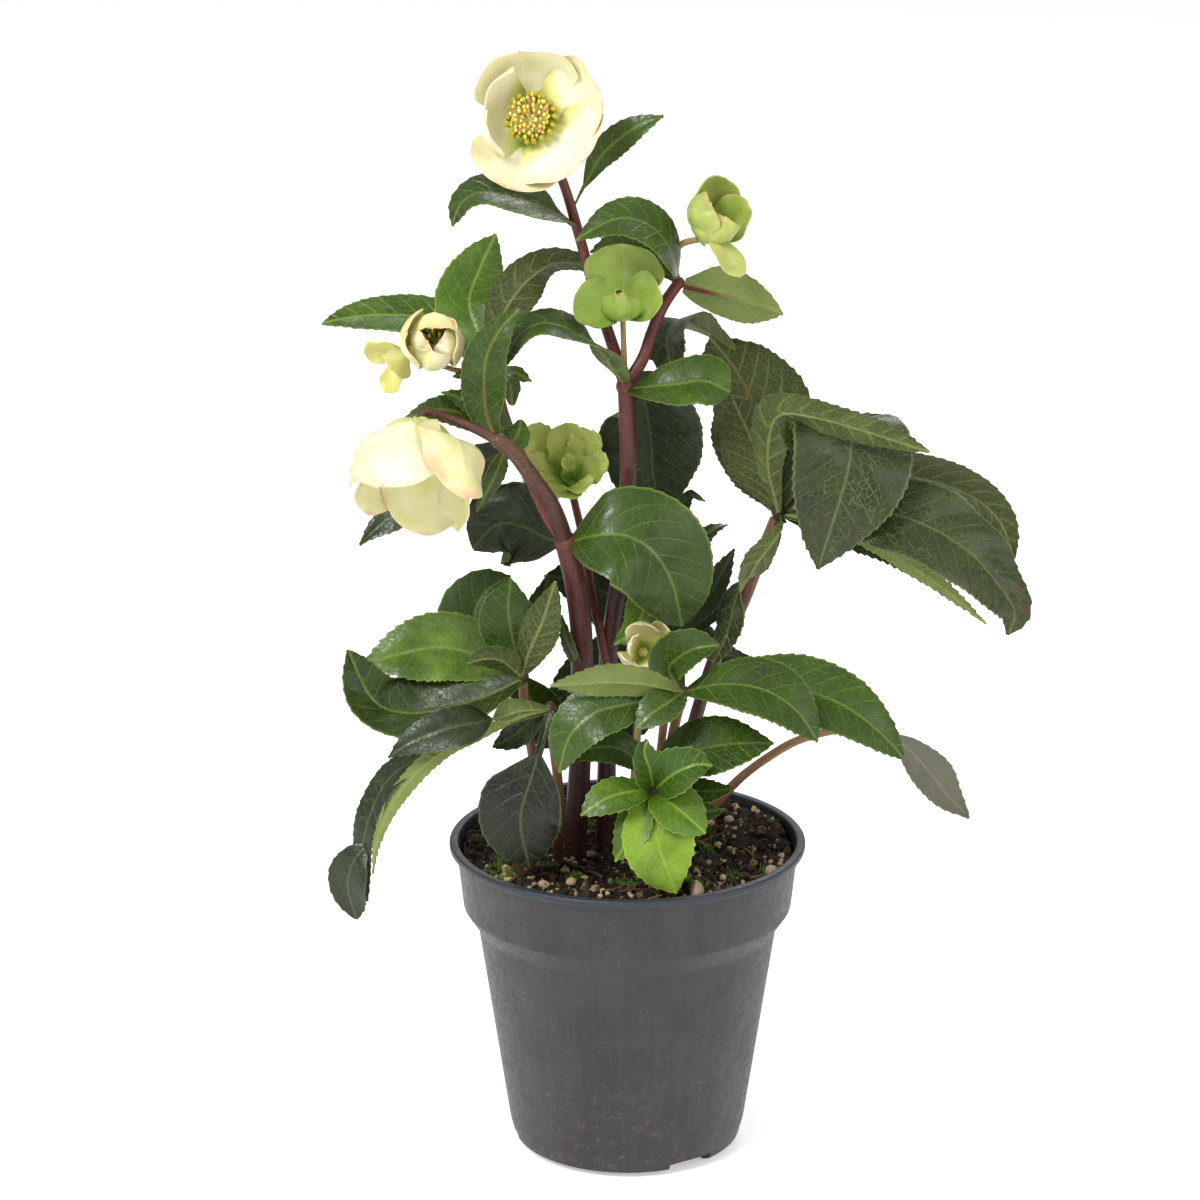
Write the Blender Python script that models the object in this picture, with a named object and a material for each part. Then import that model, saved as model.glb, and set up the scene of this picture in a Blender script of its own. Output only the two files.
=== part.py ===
"""A potted hellebore: a nursery pot, its soil, forked flowering stems, basal leaves and eight blooms.

The script's unit is the metre. Places on the plant are given as they show in a front elevation
through the pot's axis, as (across, up, near) in millimetres: `near` is how far a point stands in
front of that elevation.
"""

import math
import random

import bmesh
import bpy
import numpy as np

MM = 0.001

# Driving dimensions, in millimetres
POT_HEIGHT = 116.5
RIM_RADIUS = 65.0
RIM_DEPTH = 3.6
COLLAR_RADIUS = 62.3
COLLAR_FOOT_RADIUS = 60.0
COLLAR_FOOT = 95.0
SHOULDER = 86.0
WALL_TOP_RADIUS = 54.7
WALL_FOOT_RADIUS = 43.4
FOOT_ROUND = 6.0
POT_WALL = 1.3
POT_SIDES = 32
DRAIN_HOLES = 3
DRAIN_WIDTH = 18.0
DRAIN_HEIGHT = 4.3
DRAIN_TURN = 34.0
SOIL_HEIGHT = 111.0
SOIL_ROUGHNESS = 1.1
SOIL_HEAP = 3.6
HOLE_DEPTH = 16.0
BLADE_THICKNESS = 0.8
PETAL_STEP = 1.0
ROW_LENGTH = 14.0
WIDE_BLADE = 23.0
GAP = 0.35
KNOB_LARGE = 2.6
KNOB_SMALL = 2.0

# The eye that the front elevation is seen from, and how far below the pot's foot the elevation counts from
EYE = np.array([-10.0, -1500.0, 674.3])
DROP = 3.5
SEED = 7

COLOURS = {
    "pot_plastic": ((0.060, 0.055, 0.060), 0.45),
    "soil": ((0.035, 0.022, 0.014), 0.95),
    "stem_red": ((0.120, 0.025, 0.022), 0.50),
    "stem_brown": ((0.120, 0.070, 0.030), 0.55),
    "leaf_dark": ((0.030, 0.055, 0.025), 0.35),
    "leaf_green": ((0.035, 0.110, 0.018), 0.38),
    "leaf_young": ((0.100, 0.300, 0.030), 0.40),
    "petal_cream": ((0.870, 0.840, 0.500), 0.50),
    "petal_green": ((0.240, 0.350, 0.080), 0.50),
    "stamen_yellow": ((0.600, 0.480, 0.060), 0.60),
}


def seen(across, up, near=0.0):
    """The point of the front elevation, moved along its line of sight until it stands `near` in front."""
    flat = np.array([across, 0.0, up + DROP])
    return EYE + (flat - EYE) * (1.0 + near / EYE[1])


def unit(vectors):
    return vectors / np.maximum(np.linalg.norm(vectors, axis=-1, keepdims=True), 1e-9)


def path(points, shares, skip=0.0, stop=0.0):
    """Points at these shares of a smooth curve through the points, less its `skip` and `stop` ends."""
    p = np.asarray(points, float)
    p = np.vstack([2 * p[0] - p[1], p, 2 * p[-1] - p[-2]])
    fine = []
    for a, b, c, d in zip(p[:-3], p[1:-2], p[2:-1], p[3:]):
        u = np.linspace(0, 1, 20, endpoint=False)[:, None]
        fine.append(0.5 * (2 * b + (c - a) * u + (2 * a - 5 * b + 4 * c - d) * u**2
                           + (3 * b - a - 3 * c + d) * u**3))
    fine = np.vstack([*fine, p[-2:-1]])
    run = np.concatenate([[0], np.cumsum(np.linalg.norm(np.diff(fine, axis=0), axis=1))])
    at = skip + np.asarray(shares) * (run[-1] - skip - stop)
    return np.stack([np.interp(at, run, fine[:, k]) for k in range(3)], 1)


def spread(values, shares):
    """A number, a list of numbers or a list of directions, read along the shares."""
    values = np.asarray(values, float)
    if values.ndim == 0:
        return np.full(len(shares), float(values))
    at = np.linspace(0, 1, len(values))
    if values.ndim == 1:
        return np.interp(shares, at, values)
    return np.stack([np.interp(shares, at, values[:, k]) for k in range(values.shape[1])], 1)


def ease(values, low, high):
    """0 at or below low, 1 at or above high, and smooth between."""
    u = np.clip((np.asarray(values, float) - low) / (high - low), 0, 1)
    return u * u * (3 - 2 * u)


def material(name):
    found = bpy.data.materials.get(name)
    if found:
        return found
    colour, roughness = COLOURS[name]
    made = bpy.data.materials.new(name)
    made.use_nodes = True
    shader = made.node_tree.nodes["Principled BSDF"]
    shader.inputs["Base Color"].default_value = (*colour, 1)
    shader.inputs["Roughness"].default_value = roughness
    shader.inputs["Metallic"].default_value = 0
    made.diffuse_color = (*colour, 1)
    return made


def mesh_object(name, points, faces, slot, smooth=True):
    """An object in metres from points in millimetres."""
    mesh = bpy.data.meshes.new(name)
    mesh.from_pydata((np.asarray(points) * MM).tolist(), [], faces)
    mesh.materials.append(material(slot))
    if smooth:
        mesh.shade_smooth()
    made = bpy.data.objects.new(name, mesh)
    bpy.context.scene.collection.objects.link(made)
    return made


def keep_largest(mesh):
    """Drops the loose scraps and sealed hollows that a union leaves beside its one body."""
    work = bmesh.new()
    work.from_mesh(mesh)
    islands = []
    left = set(work.faces)
    while left:
        island = [left.pop()]
        for face in island:
            for edge in face.edges:
                for other in edge.link_faces:
                    if other in left and len(edge.link_faces) == 2:
                        left.remove(other)
                        island.append(other)
        islands.append(island)
    islands.sort(key=len)
    for island in islands[:-1]:
        bmesh.ops.delete(work, geom=island, context="FACES")
    work.to_mesh(mesh)
    work.free()


def united(name, pieces, slot):
    """One closed body from pieces that run into each other."""
    first, others = pieces[0], pieces[1:]
    first.name = name
    if others:
        group = bpy.data.collections.new(name + "_pieces")
        bpy.context.scene.collection.children.link(group)
        for piece in others:
            group.objects.link(piece)
            bpy.context.scene.collection.objects.unlink(piece)
        join = first.modifiers.new("union", "BOOLEAN")
        join.operation = "UNION"
        join.operand_type = "COLLECTION"
        join.collection = group
        join.solver = "EXACT"
        join.use_self = False
        graph = bpy.context.evaluated_depsgraph_get()
        whole = bpy.data.meshes.new_from_object(first.evaluated_get(graph))
        first.modifiers.remove(join)
        first.data = whole
        for piece in others:
            bpy.data.objects.remove(piece)
        bpy.data.collections.remove(group)
        keep_largest(first.data)
    first.data.name = name
    first.data.materials.clear()
    first.data.materials.append(material(slot))
    first.data.shade_smooth()
    first.data.set_sharp_from_angle(angle=math.radians(50))
    return first


# Blades

SHAPES = {
    # how wide the foot is, where the blade is widest, and how its outer part runs in to the tip
    "bract": (0.24, 0.42, 2.0, 0.90),
    "leaflet": (0.07, 0.52, 1.9, 0.95),
    "broad": (0.10, 0.46, 2.2, 0.80),
    "fan": (0.20, 0.74, 2.6, 0.70),
    "petal": (0.26, 0.60, 2.2, 0.52),
}


def blade(spine, width, face, shape="leaflet", fold=14, curl=-16, wave=0.0, waves=2.5, stalk=0.0, skip=0.0,
          teeth=0.0, rows=None, columns=None, thickness=BLADE_THICKNESS):
    """A closed leaf. `face` is where its upper side looks, `fold` and `curl` bend its two halves."""
    rows = rows or int(np.clip(np.linalg.norm(np.diff(spine, axis=0), axis=1).sum() / ROW_LENGTH, 4, 9))
    columns = columns or (4 if width >= WIDE_BLADE else 2)
    t = np.linspace(0, 1, rows + 1)
    centre = path(spine, t, skip)
    tangent = unit(np.gradient(centre, axis=0))
    look = spread([face, face] if np.ndim(face) == 1 else face, t)
    normal = unit(look - (look * tangent).sum(1, keepdims=True) * tangent)
    side = np.cross(tangent, normal)
    foot, widest, run_in, blunt = SHAPES[shape]
    u = np.clip((t - stalk) / (1 - stalk), 0, 1)
    rise = foot + (1 - foot) * np.sin(np.pi / 2 * np.clip(u / widest, 0, 1))
    fall = (1 - np.clip((u - widest) / (1 - widest), 0, 1) ** run_in) ** blunt
    share = np.where(u < widest, rise, fall)
    share = np.where(t < stalk, np.minimum(share, 1.6 / width * 2), share)
    half = np.maximum(width / 2 * share, 0.5)
    folds = np.radians(spread(fold, t))
    curls = np.radians(spread(curl, t))
    grid = np.zeros((rows + 1, columns + 1, 3))
    for j, lateral in enumerate(np.linspace(-1, 1, columns + 1)):
        a = abs(lateral)
        s = (np.arange(8) + 0.5) / 8 * a
        angle = folds[:, None] + curls[:, None] * s[None, :]
        saw = np.zeros(rows + 1)
        if a > 0.99 and teeth:
            saw = np.where((t > 0.3 + stalk / 2) & (t < 0.99), teeth * (np.arange(rows + 1) % 2 - 0.5), 0)
        out = (half + saw) * np.cos(angle).sum(1) * a / 8
        lift = half * np.sin(angle).sum(1) * a / 8
        ripple = np.sin(2 * np.pi * waves * t + (1.7 if lateral > 0 else 0)) * np.sin(np.pi * t)
        lift = lift + wave * a**1.5 * ripple
        grid[:, j] = (centre + side * (np.sign(lateral) * out)[:, None] + normal * lift[:, None]
                      + tangent * np.maximum(saw, 0)[:, None] * 0.8)
    return shell(grid, thickness)


def shell(grid, thickness):
    """Points and triangles of a sheet of rows of points, thickened evenly and split alike on both faces."""
    across = np.gradient(grid, axis=1)
    along = np.gradient(grid, axis=0)
    normal = unit(np.cross(along, across))
    rows, columns = grid.shape[0], grid.shape[1]
    top = (grid - normal * thickness / 2).reshape(-1, 3)
    under = (grid + normal * thickness / 2).reshape(-1, 3)
    points = np.vstack([top, under])
    count = rows * columns
    faces = []
    for i in range(rows - 1):
        for j in range(columns - 1):
            a = i * columns + j
            b, c, d = a + 1, a + columns + 1, a + columns
            split = [(a, b, c), (a, c, d)] if (i + j) % 2 else [(a, b, d), (b, c, d)]
            for p, q, r in split:
                faces.append((p, q, r))
                faces.append((r + count, q + count, p + count))
    ring = [j for j in range(columns)]
    ring += [i * columns + columns - 1 for i in range(1, rows)]
    ring += [(rows - 1) * columns + j for j in range(columns - 2, -1, -1)]
    ring += [i * columns for i in range(rows - 2, 0, -1)]
    for p, q in zip(ring, ring[1:] + ring[:1]):
        faces.append((q, p, p + count))
        faces.append((q, p + count, q + count))
    return points, faces


def tube(points, radii, sides=6, steps=None, stop=0.0):
    """A closed round stalk through points given in millimetres."""
    count = steps or (3 * len(points)) // 2
    t = np.linspace(0, 1, count)
    centre = path(points, t, 0.0, stop)
    radius = spread(radii, t)
    tangent = unit(np.gradient(centre, axis=0))
    start = np.array([1.0, 0.0, 0.0]) if abs(tangent[0][0]) < 0.9 else np.array([0.0, 1.0, 0.0])
    rings = []
    for i in range(count):
        start = unit(start - start.dot(tangent[i]) * tangent[i])
        other = np.cross(tangent[i], start)
        turn = np.linspace(0, 2 * np.pi, sides, endpoint=False)[:, None]
        rings.append(centre[i] + radius[i] * (np.cos(turn) * start + np.sin(turn) * other))
    points = np.vstack([*rings, centre[:1], centre[-1:]])
    faces = []
    for i in range(count - 1):
        for j in range(sides):
            a, b = i * sides + j, i * sides + (j + 1) % sides
            faces.append((a, b, b + sides))
            faces.append((a, b + sides, a + sides))
    first, last = count * sides, count * sides + 1
    top = (count - 1) * sides
    for j in range(sides):
        faces.append((first, (j + 1) % sides, j))
        faces.append((last, top + j, top + (j + 1) % sides))
    return points, faces


def knob(centre, radius, sides=7):
    """A small rounded node or hub."""
    rings = [(0.72, -0.68), (1.0, 0.02), (0.7, 0.7)]
    turn = np.linspace(0, 2 * np.pi, sides, endpoint=False)
    points = [centre + radius * np.array([r * math.cos(a), r * math.sin(a), z]) for r,
              z in rings for a in turn]
    points += [centre - np.array([0, 0, radius]), centre + np.array([0, 0, radius])]
    faces = []
    for i in range(len(rings) - 1):
        for j in range(sides):
            a, b = i * sides + j, i * sides + (j + 1) % sides
            faces.append((a, b, b + sides))
            faces.append((a, b + sides, a + sides))
    first, last = len(rings) * sides, len(rings) * sides + 1
    top = (len(rings) - 1) * sides
    for j in range(sides):
        faces.append((first, (j + 1) % sides, j))
        faces.append((last, top + j, top + (j + 1) % sides))
    return points, faces


# Stems and leaf stalks: a foot in the soil, or the point of the parent stem they leave, then their route

def stem_left():
    """The maroon flowering stem on the left, forked at its node, with its small bracts."""
    node = seen(-22, 225, 5)
    fork = seen(-46, 263, 18)
    behind = behind_bloom(LEFT_BLOOM, LEFT_AXIS, 6.5)
    pieces = [
        tube([*foot(-19, 0), seen(-17.5, 140, 1), seen(-16.5, 180, 2), seen(-18, 205, 3), node],
             [4.2, 4.0, 4.1],
             sides=8),
        knob(node, 4.6),
        tube([node, seen(-27, 239, 10), seen(-33, 248, 13), seen(-40, 258, 16), fork], [3.1, 2.7]),
        knob(fork, 3.0),
        tube([fork, seen(-53, 267, 20), seen(-61, 270.5, 23), behind, LEFT_BLOOM], [1.9, 1.6],
             stop=KNOB_LARGE + 3 * GAP),
        tube([node, seen(-29, 236, 1), seen(-35, 250, -3), seen(-40, 261, -5), seen(-45, 275, -7),
              UPPER_NODE],
             [2.5, 2.1]),
        knob(UPPER_NODE, 2.7),
        tube([UPPER_NODE, seen(-54, 294.5, -6), behind_bloom(CUP_BLOOM, CUP_AXIS, 6), CUP_BLOOM],
             [1.4, 1.2],
             stop=KNOB_SMALL + 2 * GAP),
        tube([UPPER_NODE, seen(-58, 288.5, -14), PALE_BLOOM], [1.1, 0.9], stop=KNOB_SMALL + 2 * GAP),
    ]
    for spine, width, face in SMALL_BRACTS_LEFT:
        pieces.append(blade([seen(*p) for p in spine], width, face, "bract", rows=3))
    return pieces


def stem_middle():
    """The dark red flowering stem, forked at its node, with the thin stalk of the green cluster."""
    node = seen(-1, 283, -6)
    pieces = [
        tube([*foot(-8, 6), seen(-7.5, 150, -6), seen(-7, 182, -6), seen(-3, 215, -6), seen(0, 250, -6),
              node],
             [3.6, 3.3, 2.9], sides=8),
        knob(node, 3.6),
        tube([node, seen(-5, 296, -7), seen(-12, 318, -9), seen(-18, 340, -12), seen(-23.5, 358, -16),
              behind_bloom(TOP_BLOOM, TOP_AXIS, 7), TOP_BLOOM], [2.3, 1.9, 1.6], stop=KNOB_LARGE + 3 * GAP),
        tube([node, seen(5, 293, -8), seen(8, 302, -10), seen(12, 312, -11), RIGHT_NODE], [2.3, 2.0]),
        knob(RIGHT_NODE, 2.5),
        tube([RIGHT_NODE, seen(16, 327, -12), seen(18, 334, -10), BUD_BLOOM], [1.3, 1.2],
             stop=KNOB_SMALL + 2 * GAP),
        tube([node, seen(-1.5, 293, -4), GREEN_BLOOM], [1.1, 1.0], stop=KNOB_SMALL + 2 * GAP),
        tube([seen(-7, 176, -4), seen(-10, 192, -3), seen(-13, 206, -8), seen(-16, 226, -19),
              behind_bloom(CLUSTER_BLOOM, CLUSTER_AXIS, 6), CLUSTER_BLOOM], [1.7, 1.4],
              stop=KNOB_SMALL + 3 * GAP),
    ]
    return pieces


def behind_bloom(receptacle, axis, reach):
    """A point behind a bloom, on its axis, through which its stalk comes in."""
    return receptacle - unit(np.array(axis)) * reach


def foot(across, back):
    """The two lowest points of a stalk that stands in the soil."""
    return [np.array([across, back, SOIL_HEIGHT - HOLE_DEPTH + GAP]),
            np.array([across, back, SOIL_HEIGHT + 3])]


UPPER_NODE = seen(-48, 293, -9)
RIGHT_NODE = seen(17.5, 320.5, -12)

# Where each bloom's receptacle is, and where it faces
TOP_BLOOM = seen(-33, 378, -12)
TOP_AXIS = (-0.10, -0.93, 0.35)
LEFT_BLOOM = seen(-73, 269.5, 26)
LEFT_AXIS = (-0.14, -0.40, -0.90)
CUP_BLOOM = seen(-67.5, 297, -5)
CUP_AXIS = (-0.04, -0.88, 0.46)
PALE_BLOOM = seen(-78, 295, -16)
PALE_AXIS = (-0.60, -0.55, -0.40)
BUD_BLOOM = seen(26, 336.5, -6)
BUD_AXIS = (0.50, -0.35, 0.79)
GREEN_BLOOM = seen(-2, 309, -2)
GREEN_AXIS = (-0.10, -0.72, 0.69)
CLUSTER_BLOOM = seen(-20, 247, -23)
CLUSTER_AXIS = (0.0, -0.75, 0.66)
LOW_BLOOM = seen(5.5, 184, 10)
LOW_AXIS = (0.05, -0.85, 0.50)

SMALL_BRACTS_LEFT = [
    ([(-47, 290, -9), (-55, 288, -6), (-62, 287, -4)], 6, (0, -0.6, 0.8)),
    ([(-41, 264, -5), (-51, 274, 0), (-60, 279, 4), (-66, 281, 6)], 10, (0, -0.9, 0.4)),
    ([(-44, 268, -6), (-55, 272, 0), (-67, 274.5, 5), (-80, 271, 8)], 12, (-0.1, -0.8, 0.5)),
    ([(-46, 283, -8), (-41, 288, -8), (-34, 285, -8)], 6, (0, -0.8, 0.6)),
    ([(-46, 288, -8), (-42, 284, -4), (-41, 276, -2)], 8, (0.2, -0.9, 0.3)),
    ([(-43, 260, 15), (-39, 266, 9), (-38, 271, 6)], 10, (0.1, -0.9, 0.3)),
    ([(-44, 260, 15), (-47, 251, 9), (-51, 243, 6), (-54, 237, 5)], 7, (0.2, -0.9, 0.2)),
    ([(-17, 176, 2), (-21, 186, 8), (-24, 198, 9)], 6, (-0.5, -0.8, 0.2)),
]

STALKS = {
    # name: foot (across, back), route as seen, radii, the hub it ends at
    "stalk_right": ((16, 14), [(20, 140, -13), (30, 178, -12), (40, 200, -11), (46, 216, -10)], [2.6, 2.4],
                    (54, 237, -9), 3.2),
    "stalk_low_right": ((27, 24), [(33, 127, -24), (41, 136, -24), (51, 144, -25), (63, 151, -28),
                                   (80, 155, -32)],
                        [1.9, 1.4], (95, 153, -37), 1.8),
    "stalk_front": ((14, -13), [(15, 130, 14), (16, 150, 17)], [2.0, 1.8], (20, 169, 27), 2.6),
    "stalk_left": ((-33, 2), [(-34, 140, 3), (-37, 160, 8)], [1.9, 1.7], (-38, 175, 10), 2.5),
    "stalk_low_left": ((-25, -14), [(-25, 130, 16), (-27, 150, 22)], [1.9, 1.7], (-28, 163, 26), 2.5),
    "stalk_back": ((8, 22), [(10, 130, -21), (14, 165, -21)], [1.7, 1.5], (17, 191, -20), 2.2),
    "stalk_shoot": ((9, -33), [(9.5, 120, 33.5)], [1.8, 1.6], (9.5, 131, 34), 2.4),
    "stalk_low_front": ((3, -18), [(4, 125, 21)], [1.7, 1.5], (8, 137, 27), 2.2),
    "stalk_bud": ((1, -12), [(2, 130, 8), (4, 160, 3), (5, 177, 2)], [1.5, 1.3], (5.5, 184, 10), 2.0),
}

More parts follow.
